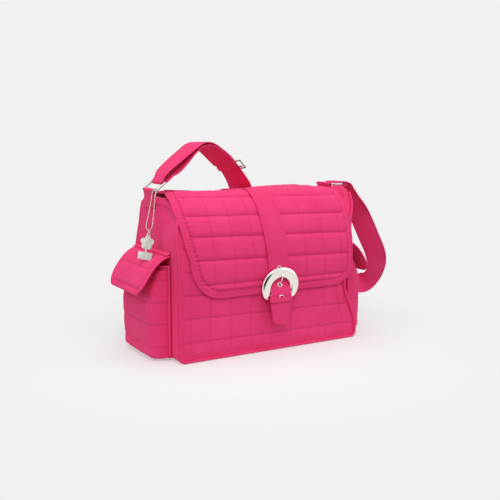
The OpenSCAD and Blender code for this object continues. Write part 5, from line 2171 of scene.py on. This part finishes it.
@dataclass
class Studio:
    """Camera, light and floor at the photograph's viewing angle."""

    place: tuple = (-0.7460, -1.2775, 0.3977)
    azimuth: float = 30.5
    down: float = 8.4
    lens: float = 54.4
    pale: float = 0.88
    ambient: float = 0.41
    card_way: tuple = (-0.1, -0.98, -0.15)

    def build(self) -> None:
        """Sets the scene up."""
        scene = bpy.context.scene
        scene.view_settings.view_transform = "Standard"
        a, e = math.radians(self.azimuth), math.radians(self.down)
        look = Vector((math.sin(a) * math.cos(e), math.cos(a) * math.cos(e), -math.sin(e)))
        lens = bpy.data.cameras.new("Camera")
        lens.sensor_width = 36.0
        lens.sensor_fit = "HORIZONTAL"
        lens.lens = self.lens
        camera = bpy.data.objects.new("Camera", lens)
        camera.location = self.place
        camera.rotation_euler = look.to_track_quat("-Z", "Y").to_euler()
        scene.collection.objects.link(camera)
        scene.camera = camera
        self.build_world()
        self.build_floor()
        self.lamp("Key", (-0.8, -1.5, 1.95), 26.0, 1.4)
        self.lamp("Fill", (1.6, -1.2, 1.0), 11.0, 1.6)
        self.lamp("Side", (-2.0, 0.1, 1.0), 11.0, 1.4)
        self.lamp("Top", (0.1, 0.2, 2.2), 12.0, 1.6)

    def lamp(self, name: str, place: tuple, power: float, size: float) -> None:
        """Adds a soft square lamp that looks at the bag.

        Args:
            name: Name of the lamp.
            place: Its place in metres.
            power: Its power in watts.
            size: Its side in metres.
        """
        light = bpy.data.lights.new(name, "AREA")
        light.energy = power
        light.size = size
        lamp = bpy.data.objects.new(name, light)
        lamp.location = place
        lamp.rotation_euler = (Vector((0, 0, 0.15)) - Vector(place)).to_track_quat("-Z", "Y").to_euler()
        bpy.context.scene.collection.objects.link(lamp)

    def build_world(self) -> None:
        """Sets an even sky that shows as the pale backdrop, with a dark card in front for the metal."""
        world = bpy.data.worlds.new("Studio")
        bpy.context.scene.world = world
        world.use_nodes = True
        graph = Graph(world.node_tree)
        ray, place = graph.add("LightPath").outputs, graph.add("TexCoord").outputs["Generated"]
        card = graph.add("VectorMath", {0: place, 1: unit(np.array(self.card_way))}, operation="DOT_PRODUCT")
        mirror = graph.add("MapRange", {"Value": card.outputs["Value"], "From Min": 0.90, "From Max": 0.945,
                                        "To Min": 1.0, "To Max": 0.02}, interpolation_type="SMOOTHSTEP")
        level = graph.add("Mix", {"Factor": ray["Is Glossy Ray"], "A": self.ambient, "B": mirror.outputs[0]})
        seen = graph.add("Math", {0: ray["Is Camera Ray"], 1: level.outputs[0]}, operation="MAXIMUM")
        graph.feed(world.node_tree.nodes["Background"],
                   {"Color": (self.pale, self.pale, self.pale, 1), "Strength": seen.outputs[0]})

    def build_floor(self) -> None:
        """Lays a pale floor that fades into the backdrop."""
        bpy.ops.mesh.primitive_plane_add(size=6.0, location=(0, 0, -0.0005))
        floor = bpy.context.active_object
        floor.name = "Floor"
        stuff = bpy.data.materials.new("PaleFloor")
        stuff.use_nodes = True
        graph = Graph(stuff.node_tree)
        far = graph.add("VectorMath", {0: graph.add("TexCoord").outputs["Object"]}, operation="LENGTH")
        fade = graph.add("MapRange", {"Value": far.outputs["Value"], "From Min": 0.22, "From Max": 0.52,
                                      "To Min": 0.55, "To Max": 0.0})
        graph.feed(stuff.node_tree.nodes["Principled BSDF"],
                   {"Base Color": (0.92, 0.92, 0.92, 1), "Roughness": 0.9, "Specular IOR Level": 0.1,
                    "Alpha": fade.outputs[0]})
        floor.data.materials.append(stuff)
        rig.stage(floor)


def main() -> None:
    """Builds the studio and every piece of the bag, and writes down the sizes."""
    logging.basicConfig(level=logging.INFO, format="%(message)s")
    Studio().build()
    finishes, body = Finishes(), BodyShape()
    ShoulderStrap(finishes).build()
    Charm(finishes).build()
    Shell(body, finishes).build()
    SidePocket(body, finishes, Side.LEFT).build()
    SidePocket(body, finishes, Side.RIGHT, belly=46.0, base=43.0).build()
    flap = Flap(body, finishes)
    flap.build()
    Closing(body, finishes, flap).build()
    boxes = {"cad": [list(map(float, v)) for v in CAD_BOX],
             "visual": [list(map(float, v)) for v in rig.bounds()]}
    with open("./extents.json", "w") as out:
        json.dump(boxes, out)


if __name__ == "__main__":
    main()
